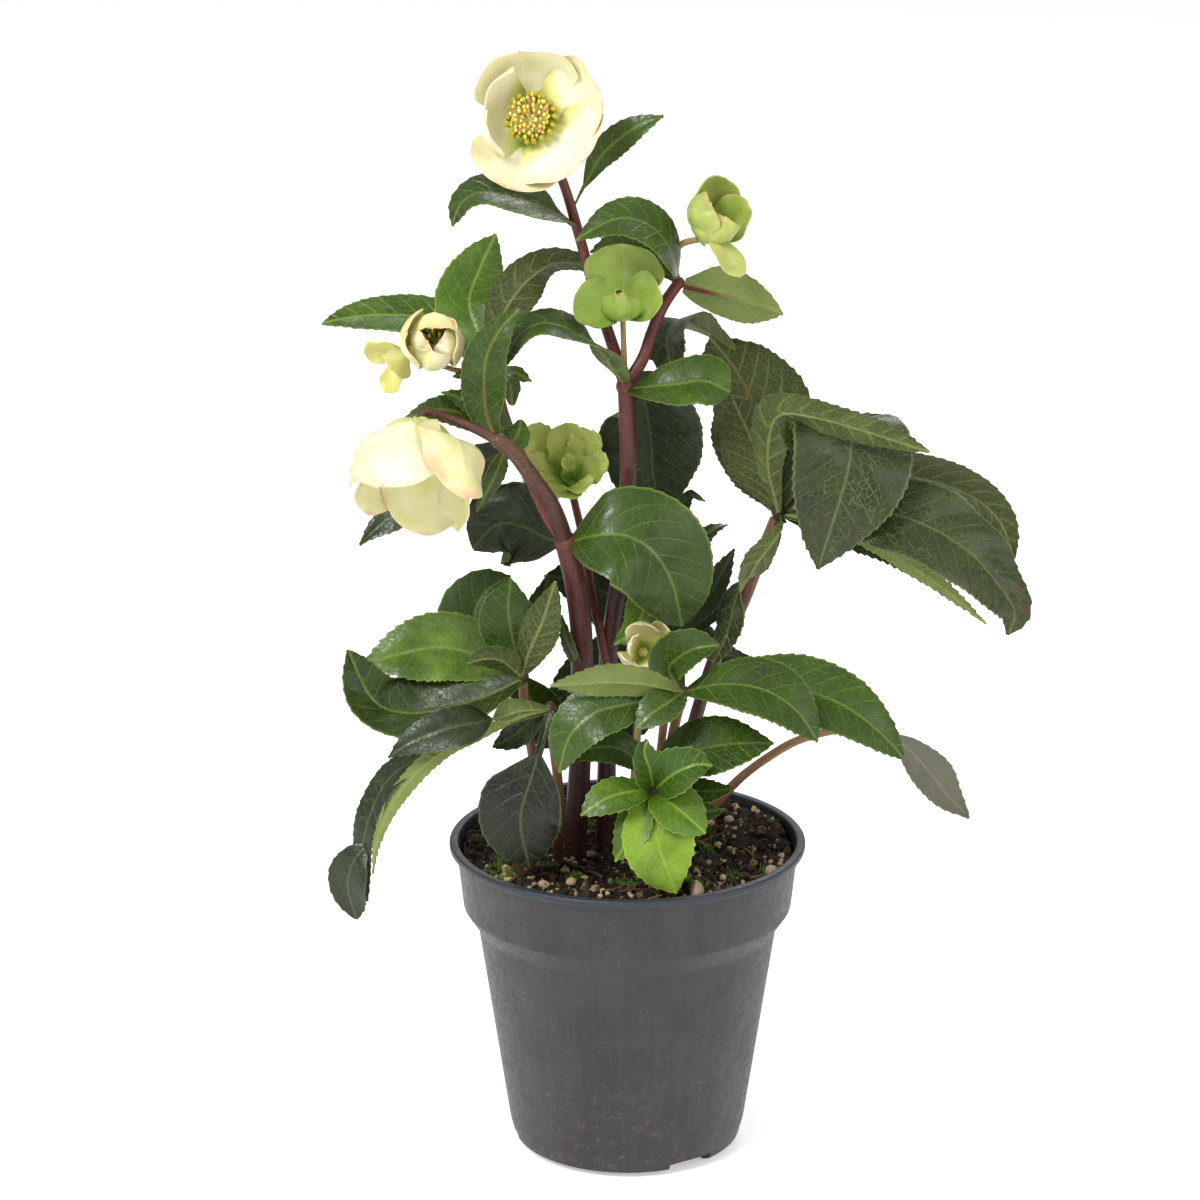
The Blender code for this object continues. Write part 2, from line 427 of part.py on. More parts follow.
# Leaves of one stalk, that run together at its hub: (spine, width, face, more)
LEAVES = {
    "leaf_right": ("stalk_right", "leaf_dark", [
        ([(54, 237, -9), (50, 250, -7), (44, 264, -7), (37, 279, -11)], 32, (0.2, 0.8, 0.5),
         {"shape": "broad"}),
        ([(54, 237, -9), (50, 256, -16), (45, 276, -25), (37, 291, -31), (29, 301, -29)], 42,
         [(0.2, 0.9, 0.3), (0.2, 0.9, 0.3), (0.1, 0.8, 0.6)], {"shape": "broad"}),
        ([(38, 297, -30), (27, 304, -27), (18, 307.5, -22), (13.5, 300, -18), (16, 286, -14)], 23,
         [(0.1, 0.3, 0.9), (-0.5, 0.0, 0.8), (-0.5, -0.8, 0.2)], {"shape": "broad"}),
        ([(63, 255, 4), (58, 268, 6), (54.5, 281, 5)], 10, (0.1, -0.9, 0.3), {}),
        ([(54, 237, -9), (60, 252, -15), (70, 265, -12), (78, 267, -2), (79, 257, 7), (76, 243, 11),
          (72, 229, 12),
          (68, 215.5, 11)], 47, [(-0.5, 0.6, 0.5), (0, 0.3, 0.9), (0.4, -0.7, 0.6), (0.1, -1, 0.1),
                                 (0.1, -1, 0.1)],
         {}),
        ([(54, 237, -6), (50, 256, 0), (53, 272, 6), (66, 272, 11), (84, 267, 12), (107, 259, 9)], 17,
         [(0.6, 0.8, 0.2), (0.3, 0.85, 0.4), (0, 0.85, 0.5)], {"shape": "broad"}),
        ([(54, 237, -11), (70, 258, -22), (86, 267, -26), (102, 264, -28)], 17, (0, -0.7, 0.7), {}),
        ([(54, 237, -9), (80, 246, -16), (100, 250, -19), (119, 245, -19), (132, 235, -17),
          (139, 220, -15)], 28,
         (0.3, 0.7, 0.6), {"shape": "broad"}),
        ([(54, 237, -8), (72, 239, -3), (90, 237, 2), (106, 232, 5), (122, 222, 7), (134, 208, 8),
          (139, 199, 8),
          (137, 190.5, 8)], 34, (0.3, -0.7, 0.65), {"wave": 1.0, "waves": 4, "shape": "broad"}),
        ([(54, 236, -11), (75, 231, -13), (92, 223, -13), (102, 213, -13)], 13, (0, -0.8, 0.5), {}),
        ([(54, 236, -8), (72, 233, 2), (90, 224, 6), (110, 211, 9), (129, 195, 10)], 8, (-0.2, 0.85, 0.4),
         {}),
        ([(54, 237, -11), (47, 246, -14), (39, 254, -16), (31, 261, -17)], 12, (-0.3, -0.7, 0.5), {}),
        ([(54, 237, -7), (54, 230, 0), (46, 218, 4), (39, 205, 5), (36, 192, 5), (30, 178, 4)], 15,
         [(0, 0.6, 0.7), (0, 0.7, 0.6), (-0.6, -0.6, 0.5), (-0.5, -0.9, 0)], {}),
    ]),
    "leaf_low_right": ("stalk_front", "leaf_green", [
        ([(20, 169, 28), (34, 172, 35), (49, 170, 40), (61, 162, 43), (69, 150, 43)], 26, (0.15, -0.6, 0.8),
         {}),
        ([(20, 169, 26), (45, 171, 20), (62, 170, 22), (78, 164, 25), (91, 154, 27), (101, 143, 26)], 29,
         (0.2, -0.65, 0.75), {}),
        ([(20, 169, 29), (8, 172, 36), (-5, 173, 40), (-17, 172.5, 41), (-28, 171.5, 41)], 15,
         (0, 0.9, 0.35), {}),
        ([(20, 169, 30), (16, 166, 37), (9, 161, 41), (3, 155, 43)], 14, (-0.3, -0.8, 0.5), {}),
        ([(20, 169, 25), (15, 178, 24), (23, 185, 27), (33, 187, 28)], 19, (-0.1, -0.8, 0.6),
         {"fold": 26, "curl": 10}),
        ([(20, 169, 27), (9, 166, 31), (-2, 164, 36), (-12, 161, 39), (-21, 152, 41), (-25, 138, 40)], 21,
         (-0.3, -0.8, 0.5), {"stalk": 0.12}),
    ]),
    "leaf_grey": ("stalk_low_right", "leaf_dark", [
        ([(95, 153, -37), (103, 146, -37), (110, 138, -37), (117, 129, -36), (124.5, 120.5, -34)], 17,
         (0.4, -0.8, 0.5), {}),
    ]),
    "leaf_left": ("stalk_left", "leaf_green", [
        ([(-38, 175, 10), (-52, 182, 6), (-66, 186, 4), (-80, 184, 5), (-96, 179.5, 7)], 27,
         (-0.1, -0.8, 0.6), {}),
        ([(-38, 176, 8), (-48, 187, -3), (-55, 197, -8), (-51, 207, -11), (-42, 213, -13)], 28,
         (-0.2, -0.9, 0.3), {}),
        ([(-38, 176, 10), (-41, 187, 7), (-43, 200, 6), (-42, 212, 4)], 23, (-0.1, -0.95, 0.3), {}),
        ([(-38, 175, 11), (-35, 185, 14), (-30, 197, 14), (-26, 211, 12)], 15, (0.5, 0.8, 0.2), {}),
        ([(-38, 175, 11), (-45, 181, 15), (-51, 182, 17), (-58, 180, 17)], 13, (0, 0.8, 0.5), {}),
        ([(-38, 174, 12), (-50, 168, 14), (-65, 163, 15), (-80, 161, 15), (-92, 166, 14), (-101, 185, 12)],
         28,
         (0, -0.6, 0.8), {"fold": 22, "curl": -8, "shape": "broad"}),
        ([(-38, 175, 8), (-34, 188, -6), (-31, 200, -12), (-29, 213, -13)], 15, (0.1, -0.95, 0.2), {}),
        ([(-38, 175, 8), (-35, 166, -4), (-30, 156, -12), (-24, 146, -15)], 19, (0, -0.95, 0.3), {}),
    ]),
    "leaf_low_left": ("stalk_low_left", "leaf_dark", [
        ([(-28, 163, 27), (-40, 162, 33), (-52, 158, 36), (-65, 155, 38), (-78, 150, 39), (-87, 144, 39)],
         17,
         [(0, 0.8, 0.5), (0, 0.8, 0.4), (0, -0.6, 0.8), (-0.1, -0.8, 0.5), (-0.2, -0.8, 0.5)], {}),
        ([(-28, 162, 26), (-45, 157, 27), (-62, 151, 30), (-76, 144, 31), (-88, 134, 32), (-95, 118, 33),
          (-97, 104, 32), (-95.5, 88, 31)], 13, [(0, -0.3, 1), (-0.5, -0.5, 0.7), (-0.6, -0.8, 0.1)],
         {"stalk": 0.2, "shape": "broad"}),
        ([(-95, 110, 33), (-100, 104, 34), (-102.5, 94, 33), (-99.5, 81, 31)], 18, (-0.6, -0.8, 0.1),
         {"shape": "broad"}),
        ([(-28, 162, 28), (-31, 150, 34), (-35, 136, 38), (-39, 120, 40), (-36, 101.5, 38)], 31,
         (-0.2, -0.95, 0.3), {"stalk": 0.28, "shape": "broad"}),
        ([(-28, 163, 26), (-35, 158, 24.6), (-42, 152, 23.5), (-49, 148, 22)], 12, (0, -0.7, 0.7), {}),
        ([(-28, 163, 27), (-40, 159.5, 31), (-55, 152.5, 32.5), (-70, 144.5, 36), (-83, 130, 37),
          (-91, 113, 38), (-93, 99, 37)],
         7, [(0, 0.8, 0.5), (0.3, 0.9, 0.2), (0.7, 0.8, 0)], {}),
    ]),
    "leaf_back": ("stalk_back", "leaf_dark", [
        ([(17, 191, -21), (17, 215, -26), (18, 234, -28), (22, 243, -28), (27.5, 241, -27)], 10,
         (0.3, -0.8, 0.5), {}),
        ([(17, 191, -20), (20, 212, -22), (24, 224, -22), (30, 230, -21), (35.5, 232, -20)], 10,
         (0.1, -0.9, 0.4), {}),
        ([(17, 191, -19), (24, 198, -18), (31, 209, -17), (38, 223, -16)], 10, (-0.3, -0.9, 0.2), {}),
        ([(17, 191, -20), (25, 196, -21), (31, 202, -21), (34, 209, -21)], 9, (0.2, -0.9, 0.3), {}),
        ([(17, 191, -21), (25, 191, -23), (30, 188, -24), (34, 183, -24)], 9, (0.2, -0.9, 0.3), {}),
        ([(17, 191, -22), (27, 187, -25), (36, 183, -27), (45, 182, -28)], 9, (0, -0.8, 0.6), {}),
        ([(17, 191, -21), (7, 197, -27), (-5, 205, -30), (-18, 211, -31), (-30, 213, -30)], 25,
         (0, -0.9, 0.4), {}),
        ([(17, 191, -22), (7, 185, -29), (-5, 178, -32), (-18, 171, -33), (-30, 163, -32)], 27,
         (0, -0.9, 0.4), {}),
        ([(17, 191, -22), (10, 178, -31), (0, 164, -36), (-12, 153, -38), (-25, 145, -38)], 24,
         (0, -0.9, 0.4), {}),
    ]),
    "shoot_front": ("stalk_shoot", "leaf_young", [
        ([(9.5, 131, 34), (2, 131, 40), (-8, 128, 44), (-17, 121.5, 46)], 15, (-0.2, -0.7, 0.7), {}),
        ([(9.5, 131, 34), (5, 124, 41), (1, 114, 45), (-4.5, 103.5, 47)], 14, (-0.4, -0.8, 0.5), {}),
        ([(9.5, 131, 34), (9, 122, 42), (12, 108, 48), (18, 91, 50)], 26, (0.1, -0.9, 0.4), {}),
        ([(9.5, 131, 34), (15, 127, 42), (22, 121, 45), (28.5, 114.5, 46)], 19, (0.3, -0.8, 0.5), {}),
        ([(9.5, 131, 34), (8, 139, 40), (6, 146, 41), (7, 151, 39)], 15, (0.3, -0.9, 0.2), {"fold": 32}),
        ([(9.5, 131, 34), (16, 137, 42), (24, 141, 44), (31, 141, 43)], 18, (0.1, -0.8, 0.6), {"fold": 28}),
    ]),
    "leaf_low_front": ("stalk_low_front", "leaf_green", [
        ([(8, 137, 27), (20, 145, 32), (36, 149, 32), (53, 149.5, 31)], 24, (0.1, -0.65, 0.75), {}),
        ([(8, 137, 26), (20, 132, 26), (30, 131, 29), (39, 132, 31)], 11, (0.1, -0.7, 0.7), {}),
        ([(8, 137, 26), (16, 130, 25), (26, 123, 22), (36, 124, 21)], 10, (0, -0.7, 0.7), {}),
        ([(8, 137, 27), (1, 145, 28), (-6, 148, 30), (-15, 147, 32), (-23, 144, 33)], 14, (-0.1, -0.7, 0.7),
         {}),
    ]),
}

# Bracts that stand on a flowering stem: (spine from the stem's middle, width, face, clearance, slot, more)
BRACTS = {
    "bract_top_left": ([(-18.5, 341, -12), (-26, 346, -5), (-38, 350.5, -1), (-50, 353, 1), (-58, 349.5, 3),
                        (-62, 341, 4)], 22, (-0.1, -0.42, 0.9), 3.4, "leaf_green", {"fold": 18}),
    "bract_top_right": ([(-20, 346, -12), (-15.5, 355, -14), (-9, 366.5, -15), (1, 375, -14),
                         (12, 380, -13)],
                        11, (0.35, -0.7, 0.6), 3.9, "leaf_green", {"shape": "leaflet", "stalk": 0.15}),
    "bract_arched": ([(17.5, 321, -12), (16, 329, -3), (11, 338, 3), (3, 343, 7), (-6, 343, 9),
                      (-18.5, 336, 11)],
                     20, [(0.7, -0.6, 0.3), (0.2, -0.6, 0.75), (-0.2, -0.6, 0.75)], 3.6, "leaf_green",
                     {"shape": "leaflet"}),
    "bract_behind": ([(17.5, 320, -12), (10, 327, -16), (-2, 334, -15), (-13.5, 332, -13)],
                     13, (0, -0.7, 0.7), 3.6, "leaf_green", {"shape": "leaflet"}),
    "bract_light": ([(17.5, 320, -12), (26, 318, -11), (38, 315, -6), (48, 312, -2), (54.5, 309.5, 1)],
                    24, (0.05, 0.85, 0.4), 3.4, "leaf_green", {}),
    "bract_middle_left": ([(-1, 284, -6), (-5, 290, 3), (-10, 297, 8), (-19, 303, 9), (-30, 306, 8),
                           (-39, 301, 7),
                           (-46, 288, 6)], 20, [(0.6, 0.7, 0.3), (0, -0.2, 1), (-0.3, -0.6, 0.8)], 4.8,
                          "leaf_green", {}),
    "bract_middle_right": ([(-1, 282, -6), (8, 283, 2), (18, 284, 5), (27, 285, 7), (36, 281, 7)],
                           21, (0.1, -0.7, 0.7), 4.6, "leaf_green", {"shape": "fan"}),
    "bract_back": ([(-1, 282, -6), (5, 279, -17), (8, 264, -23), (9, 250, -24), (12, 235, -24)],
                   38, (0, -0.9, 0.3), 4.3, "leaf_dark", {"shape": "broad"}),
    "bract_upright": ([(-46, 263, 18), (-50, 272, 14), (-51, 283, 13), (-50, 294, 13), (-45, 304, 13),
                       (-38.5, 311, 12)], 17, (-0.2, -0.95, 0.1), 3.6, "leaf_green", {"fold": 20}),
    "bract_bright": ([(-48, 293, -9), (-53, 303, -15), (-56, 314, -20), (-52, 326, -20), (-46.5, 338, -19)],
                     25, (-0.1, -0.95, 0.3), 3.4, "leaf_young", {}),
    "bract_underside": ([(-48, 293, -9), (-44, 309, -9), (-36, 321, -11), (-26, 328, -16), (-15, 327, -20),
                         (-9.5, 321, -20)], 17, (0.3, 0.8, 0.5), 3.4, "leaf_green", {}),
    "bract_left": ([(-48, 293, -9), (-55, 298, -20), (-68, 307, -25), (-85, 309, -21), (-98, 308, -15),
                    (-108, 306, -11)], 19, (-0.1, -0.6, 0.8), 3.4, "leaf_young", {"shape": "broad"}),
    "bract_behind_bloom": ([(-40, 261, -5), (-52, 255, -14), (-70, 245, -14), (-87, 233, -12),
                            (-96, 224.5, -10)],
                           18, (-0.3, -0.8, 0.5), 2.5, "leaf_dark", {}),
    "bract_crinkled": ([(-22, 225, 5), (-29, 227, -1), (-38, 231.5, -7), (-47, 232, -9), (-55.5, 223, -8)],
                       31, (-0.3, -0.85, 0.4), 5.6, "leaf_dark",
                       {"shape": "broad", "wave": 1.6, "waves": 4}),
    "bract_front": ([(-22, 225, 5), (-12, 228, 15), (-1, 228, 18), (9, 222, 19), (16, 210, 17),
                     (19.5, 194, 13)],
                    41, (0.15, -0.8, 0.6), 4.7, "leaf_green", {"shape": "broad"}),
    "bract_low": ([(-3, 214, -6), (5, 213, -1), (7, 205, 0), (3, 194, 2), (-5, 187, 4)],
                  14, (0, -0.9, 0.3), 4.4, "leaf_young", {}),
}

# Blooms: (receptacle, axis, hub, slot, petals from the back layer forward), each petal as
# (turn, length, width, openings from foot to tip)
BLOOMS = {
    "bloom_top": (TOP_BLOOM, TOP_AXIS, KNOB_LARGE, "petal_cream", [
        (101, 30.5, 42, [90, 88, 63, 28, -1]), (254, 33.5, 37, [89, 85, 66, 37, 9]),
        (175, 31.5, 41, [92, 88, 52, 4, -40]), (18, 37, 38, [92, 88, 64, 30, 7]),
        (-41, 37.5, 42, [89, 85, 66, 31, 13])]),
    "bloom_left": (LEFT_BLOOM, LEFT_AXIS, KNOB_LARGE, "petal_cream", [
        (268, 45, 38, [76, 48, 22, 6, -4]), (205, 43, 30, [84, 54, 28, 12, 0]),
        (318, 45, 30, [80, 52, 26, 8, -6]),
        (150, 41, 36, [106, 68, 38, 14, 0]), (95, 46, 42, [118, 70, 38, 22, 10]),
        (26, 48, 36, [116, 76, 46, 18, 0])]),
    "bloom_cup": (CUP_BLOOM, CUP_AXIS, KNOB_SMALL, "petal_cream", [
        (176, 27, 28, [90, 56, 20, -8, -34]), (4, 25, 22, [90, 58, 24, -4, -28]),
        (258, 27, 26, [90, 56, 18, -20, -52]),
        (92, 31, 34, [90, 54, 10, -36, -80]), (212, 31, 34, [90, 54, 10, -36, -80]),
        (330, 31, 34, [90, 54, 10, -36, -80])]),
    "bloom_pale": (PALE_BLOOM, PALE_AXIS, KNOB_SMALL, "petal_green", [
        (30, 17, 14, [60, 40, 20, 10]), (150, 16, 14, [75, 60, 45, 30]), (260, 17, 14, [60, 40, 20, 10])]),
    "bloom_bud": (BUD_BLOOM, BUD_AXIS, KNOB_SMALL, "petal_green", [
        (55, 26, 24, [80, 58, 24, -2, -20]), (345, 24, 22, [78, 56, 26, 4, -10]),
        (215, 24, 24, [84, 66, 24, -10, -35]),
        (150, 28, 30, [92, 70, 26, -14, -50]), (250, 23, 14, [60, 80, 98, 104])]),
    "bloom_green": (GREEN_BLOOM, GREEN_AXIS, KNOB_SMALL, "petal_green", [
        (92, 25, 29, [77, 72, 52, 39]), (170, 19, 21, [85, 72, 60, 45]), (26, 20, 21, [82, 67, 50, 32]),
        (88, 16, 15, [55, 30, 1, -17]), (272, 26, 36, [88, 53, 3, -28, -46])]),
    "bloom_cluster": (CLUSTER_BLOOM, CLUSTER_AXIS, KNOB_SMALL, "petal_green", [
        (140, 28, 18, [78, 60, 40, 18]), (101, 26, 17, [66, 48, 28, 8]), (60, 26, 18, [70, 52, 28, 4]),
        (176, 24, 18, [82, 68, 52, 34]), (22, 24, 19, [76, 58, 34, 10]), (118, 18, 13, [56, 40, 22, 4]),
        (212, 21, 16, [86, 70, 54, 38]), (250, 20, 20, [82, 64, 46, 34]), (300, 19, 18, [80, 62, 46, 36])]),
    "bloom_low": (LOW_BLOOM, LOW_AXIS, KNOB_SMALL, "petal_cream", [
        (20, 19, 18, [88, 72, 38, 2, -30]), (235, 18, 16, [88, 70, 38, 6, -22]),
        (95, 19, 18, [84, 70, 36, 0, -30]),
        (305, 18, 16, [82, 66, 36, 6, -20]), (165, 18, 17, [78, 62, 32, 0, -26])]),
}


def bloom_frame(axis):
    """A bloom's axis with the upward and the sideways direction square to it."""
    axis = unit(np.array(axis))
    upward = unit(np.array([0, 0, 1]) - axis[2] * axis)
    return axis, upward, np.cross(upward, axis)


def petal(receptacle, axis, hub, sizes, layer):
    """A petal cut from a bowl that opens along the petal by its list of angles, inner layers further in."""
    axis, upward, across = bloom_frame(axis)
    turn, length, width, openings = sizes
    large = hub == KNOB_LARGE
    rows = 5 if length > 38 else 4 if length > 25 else 3 if length > 17 else 2
    columns = 4 if large else 2
    run = np.linspace(0, 1.7, 171) * length
    angles = np.radians(spread(openings, np.clip(run / length, 0, 1)))
    step = run[1] / 2
    bowl_radius = np.concatenate([[0], np.cumsum((np.sin(angles[1:]) + np.sin(angles[:-1])) * step)])
    bowl_height = np.concatenate([[0], np.cumsum((np.cos(angles[1:]) + np.cos(angles[:-1])) * step)])
    t = np.linspace(hub * 0.6 / length, 1, rows + 1)
    foot, widest, run_in, blunt = SHAPES["petal"]
    rise = foot + (1 - foot) * np.sin(np.pi / 2 * np.clip(t / widest, 0, 1))
    fall = (1 - np.clip((t - widest) / (1 - widest), 0, 1) ** run_in) ** blunt
    half = np.maximum(width / 2 * np.where(t < widest, rise, fall), 1.2)[:, None]
    lateral = np.linspace(1, -1, columns + 1)[None, :]
    w = lateral * half
    s = (t * length)[:, None] * np.ones_like(lateral)
    reach = np.hypot(s, w)
    radius = np.interp(reach, run, bowl_radius)
    height = np.interp(reach, run, bowl_height)
    angle = np.interp(reach, run, angles)
    around = math.radians(turn) + np.arctan2(w, s) * (reach / np.maximum(radius, 0.55 * reach)) ** 0.7
    radial = np.cos(around)[..., None] * across + np.sin(around)[..., None] * upward
    inward = np.sin(angle)[..., None] * axis - np.cos(angle)[..., None] * radial
    lift = layer * PETAL_STEP * ease(s, 0.0, 9.0)
    return shell(receptacle + axis * height[..., None] + radial * radius[..., None] + inward * lift[...,
                                                                                                    None],
                 BLADE_THICKNESS)


def bloom(receptacle, axis, hub, petals):
    """A bloom's receptacle and petals."""
    return [knob(receptacle, hub)] + [petal(receptacle, axis, hub, sizes, k) for k,
                                      sizes in enumerate(petals)]


def bloom_centre(receptacle, axis, hub, height, ring, nectaries, stamens, styles):
    """The ring of tubular nectaries, the sheaf of stamens and the styles, on a low boss."""
    axis, upward, across = bloom_frame(axis)
    base = receptacle + axis * (hub + GAP + 2.9)
    pieces = [tube([base - axis * 0.7, base + axis * 1.2], [ring * 0.84, ring * 0.80], sides=10, steps=2)]
    kinds = ((nectaries, ring * 0.74, 20, 0.60, 1.0, 3), (stamens, ring * 0.36, 14, 1.0, 0.5, 3),
             (styles, ring * 0.10, 36, 1.2, 0.45, 3))
    for count, reach, lean, tall, radius, sides in kinds:
        for k in range(count):
            turn = 2 * math.pi * (k + 0.37 * reach) / count
            radial = math.cos(turn) * across + math.sin(turn) * upward
            away = math.radians(lean)
            tip = base + radial * (reach + math.sin(away) * height * tall)
            tip = tip + axis * (math.cos(away) * height * tall)
            pieces.append(tube([base + radial * reach, tip], [radius * 0.8, radius], sides=sides, steps=2))
    return pieces


def pot():
    """A thin moulded wall turned about Z, with a rim lip, a collar, a shoulder and drain holes."""
    outer = [(0, 0), (WALL_FOOT_RADIUS - FOOT_ROUND, 0),
             (WALL_FOOT_RADIUS - FOOT_ROUND * 0.3, FOOT_ROUND * 0.3),
             (WALL_FOOT_RADIUS, FOOT_ROUND * 1.4), (WALL_TOP_RADIUS, SHOULDER - 2),
             (WALL_TOP_RADIUS + 1.2, SHOULDER),
             (COLLAR_FOOT_RADIUS - 2, SHOULDER + 3), (COLLAR_FOOT_RADIUS, COLLAR_FOOT - 3),
             (COLLAR_RADIUS, POT_HEIGHT - RIM_DEPTH), (RIM_RADIUS, POT_HEIGHT - RIM_DEPTH + 1),
             (RIM_RADIUS, POT_HEIGHT - 0.6), (RIM_RADIUS - 0.6, POT_HEIGHT)]
    inner = [(RIM_RADIUS - 3.2, POT_HEIGHT)] + [(r - POT_WALL, z) for r, z in reversed(outer[3:8])]
    inner += [(WALL_FOOT_RADIUS - FOOT_ROUND * 0.6, FOOT_ROUND * 0.6 + POT_WALL),
              (0, FOOT_ROUND * 0.6 + POT_WALL)]
    made = turned("pot", outer + inner, "pot_plastic")
    cutters = []
    for k in range(DRAIN_HOLES):
        angle = math.radians(DRAIN_TURN + 360 / DRAIN_HOLES * k)
        bpy.ops.mesh.primitive_cube_add(size=1)
        cutter = bpy.context.object
        cutter.name = "drain_cutter"
        reach = WALL_FOOT_RADIUS + 3
        cutter.scale = (24 * MM, DRAIN_WIDTH * MM, 2 * DRAIN_HEIGHT * MM)
        cutter.location = (reach * math.sin(angle) * MM, -reach * math.cos(angle) * MM, 0)
        cutter.rotation_euler = (0, 0, angle - math.pi / 2)
        cutters.append(cutter)
    carve(made, cutters)
    return made


def turned(name, profile, slot):
    """A solid turned about Z from a profile of (radius, height), its ends on the axis."""
    points = []
    rings = []
    for radius, height in profile:
        if radius == 0:
            rings.append([len(points)])
            points.append((0, 0, height))
            continue
        rings.append(list(range(len(points), len(points) + POT_SIDES)))
        for k in range(POT_SIDES):
            angle = 2 * math.pi * k / POT_SIDES
            points.append((radius * math.cos(angle), radius * math.sin(angle), height))
    faces = []
    for low, high in zip(rings, rings[1:]):
        for k in range(POT_SIDES):
            n = (k + 1) % POT_SIDES
            if len(low) == 1:
                faces.append((low[0], high[n], high[k]))
            elif len(high) == 1:
                faces.append((low[k], low[n], high[0]))
            else:
                faces.append((low[k], low[n], high[n], high[k]))
    made = mesh_object(name, points, faces, slot)
    made.data.set_sharp_from_angle(angle=math.radians(40))
    return made


def carve(made, cutters):
    """Cuts the cutters out of an object and removes them."""
    group = bpy.data.collections.new("cutters")
    bpy.context.scene.collection.children.link(group)
    for cutter in cutters:
        for holder in list(cutter.users_collection):
            holder.objects.unlink(cutter)
        group.objects.link(cutter)
    cut = made.modifiers.new("holes", "BOOLEAN")
    cut.operation = "DIFFERENCE"
    cut.operand_type = "COLLECTION"
    cut.collection = group
    cut.solver = "EXACT"
    graph = bpy.context.evaluated_depsgraph_get()
    whole = bpy.data.meshes.new_from_object(made.evaluated_get(graph))
    made.modifiers.remove(cut)
    made.data = whole
    made.data.name = made.name
    for cutter in cutters:
        bpy.data.objects.remove(cutter)
    bpy.data.collections.remove(group)


def soil(feet):
    """The potting mix: it fills the pot, its top is rough, and each stalk's foot stands in a plain hole."""
    draw = random.Random(SEED)
    clear = POT_WALL + GAP
    floor = FOOT_ROUND * 0.6 + POT_WALL + GAP
    side = [(0, floor), (WALL_FOOT_RADIUS - FOOT_ROUND * 0.6 - clear, floor),
            (WALL_FOOT_RADIUS - clear - 0.6, 12),
            (WALL_TOP_RADIUS - clear - 0.4, SHOULDER - 2), (COLLAR_FOOT_RADIUS - clear - 1.6, SHOULDER + 7)]
    rim = COLLAR_RADIUS - clear - 0.9
    top = [(rim * share, SOIL_HEIGHT) for share in (1.0, 0.82, 0.60, 0.36)]
    made = turned("soil", side + top + [(0, SOIL_HEIGHT)], "soil")
    for vertex in made.data.vertices:
        if vertex.co.z > (SOIL_HEIGHT - 1) * MM:
            across, back = vertex.co.x / MM, vertex.co.y / MM
            heap = SOIL_HEAP * ease(math.hypot(across, back), 38, 58) * ease(back, -12, 24)
            vertex.co.z += (heap + draw.uniform(-1.8, 0.6) * SOIL_ROUGHNESS) * MM
    cutters = []
    for across, back, radius in feet:
        points, faces = tube([np.array([across, back, SOIL_HEIGHT - HOLE_DEPTH]),
                              np.array([across, back, SOIL_HEIGHT + 8])], [radius + 1.8 * GAP], sides=8,
                              steps=2)
        cutters.append(mesh_object("foot_cutter", points, faces, "soil"))
    carve(made, cutters)
    return made


def objects(name, shapes, slot):
    """Mesh objects of the shapes, joined in one body that takes the name."""
    pieces = [mesh_object(f"{name}_{k}", points, faces, slot) for k, (points, faces) in enumerate(shapes)]
    return united(name, pieces, slot)


def main():
    for left in list(bpy.data.objects):
        bpy.data.objects.remove(left)
    pot()
    feet = [(-19, 0, 4.2), (-8, 6, 3.6)]
    feet += [(*stalk[0], stalk[2][0]) for stalk in STALKS.values()]
    soil(feet)
    objects("stem_left", stem_left(), "stem_red")
    objects("stem_middle", stem_middle(), "stem_red")
    for name, (root, route, radii, hub, hub_radius) in STALKS.items():
        points = [*foot(*root), *[seen(*p) for p in route], seen(*hub)]
        objects(name, [tube(points, radii, stop=hub_radius + GAP)], "stem_brown")
    for name, (stalk, slot, blades) in LEAVES.items():
        shapes = []
        shapes.append(knob(seen(*STALKS[stalk][3]), STALKS[stalk][4]))
        for spine, width, face, more in blades:
            shapes.append(blade([seen(*p) for p in spine], width, face, **{"teeth": 1.2, **more}))
        objects(name, shapes, slot)
    for name, (spine, width, face, clearance, slot, more) in BRACTS.items():
        more = {"shape": "bract", "teeth": 0.9, "skip": clearance, **more}
        objects(name, [blade([seen(*p) for p in spine], width, face, **more)], slot)
    for name, (receptacle, axis, hub, slot, petals) in BLOOMS.items():
        objects(name, bloom(receptacle, axis, hub, petals), slot)
    objects("bloom_top_centre", bloom_centre(TOP_BLOOM, TOP_AXIS, KNOB_LARGE, 7.0, 7.6, 10, 10, 5),
            "stamen_yellow")
    objects("bloom_cup_centre", bloom_centre(CUP_BLOOM, CUP_AXIS, KNOB_SMALL, 3.4, 2.6, 5, 4, 3),
            "stamen_yellow")


main()
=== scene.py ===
"""The looks of a potted hellebore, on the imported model's frame.

Sizes are in millimetres and become metres when a piece is made. Places on the plant are given as
they show in a front elevation through the pot's axis, as (across, up, near): `near` is how far a
point stands in front of it.
"""

import math

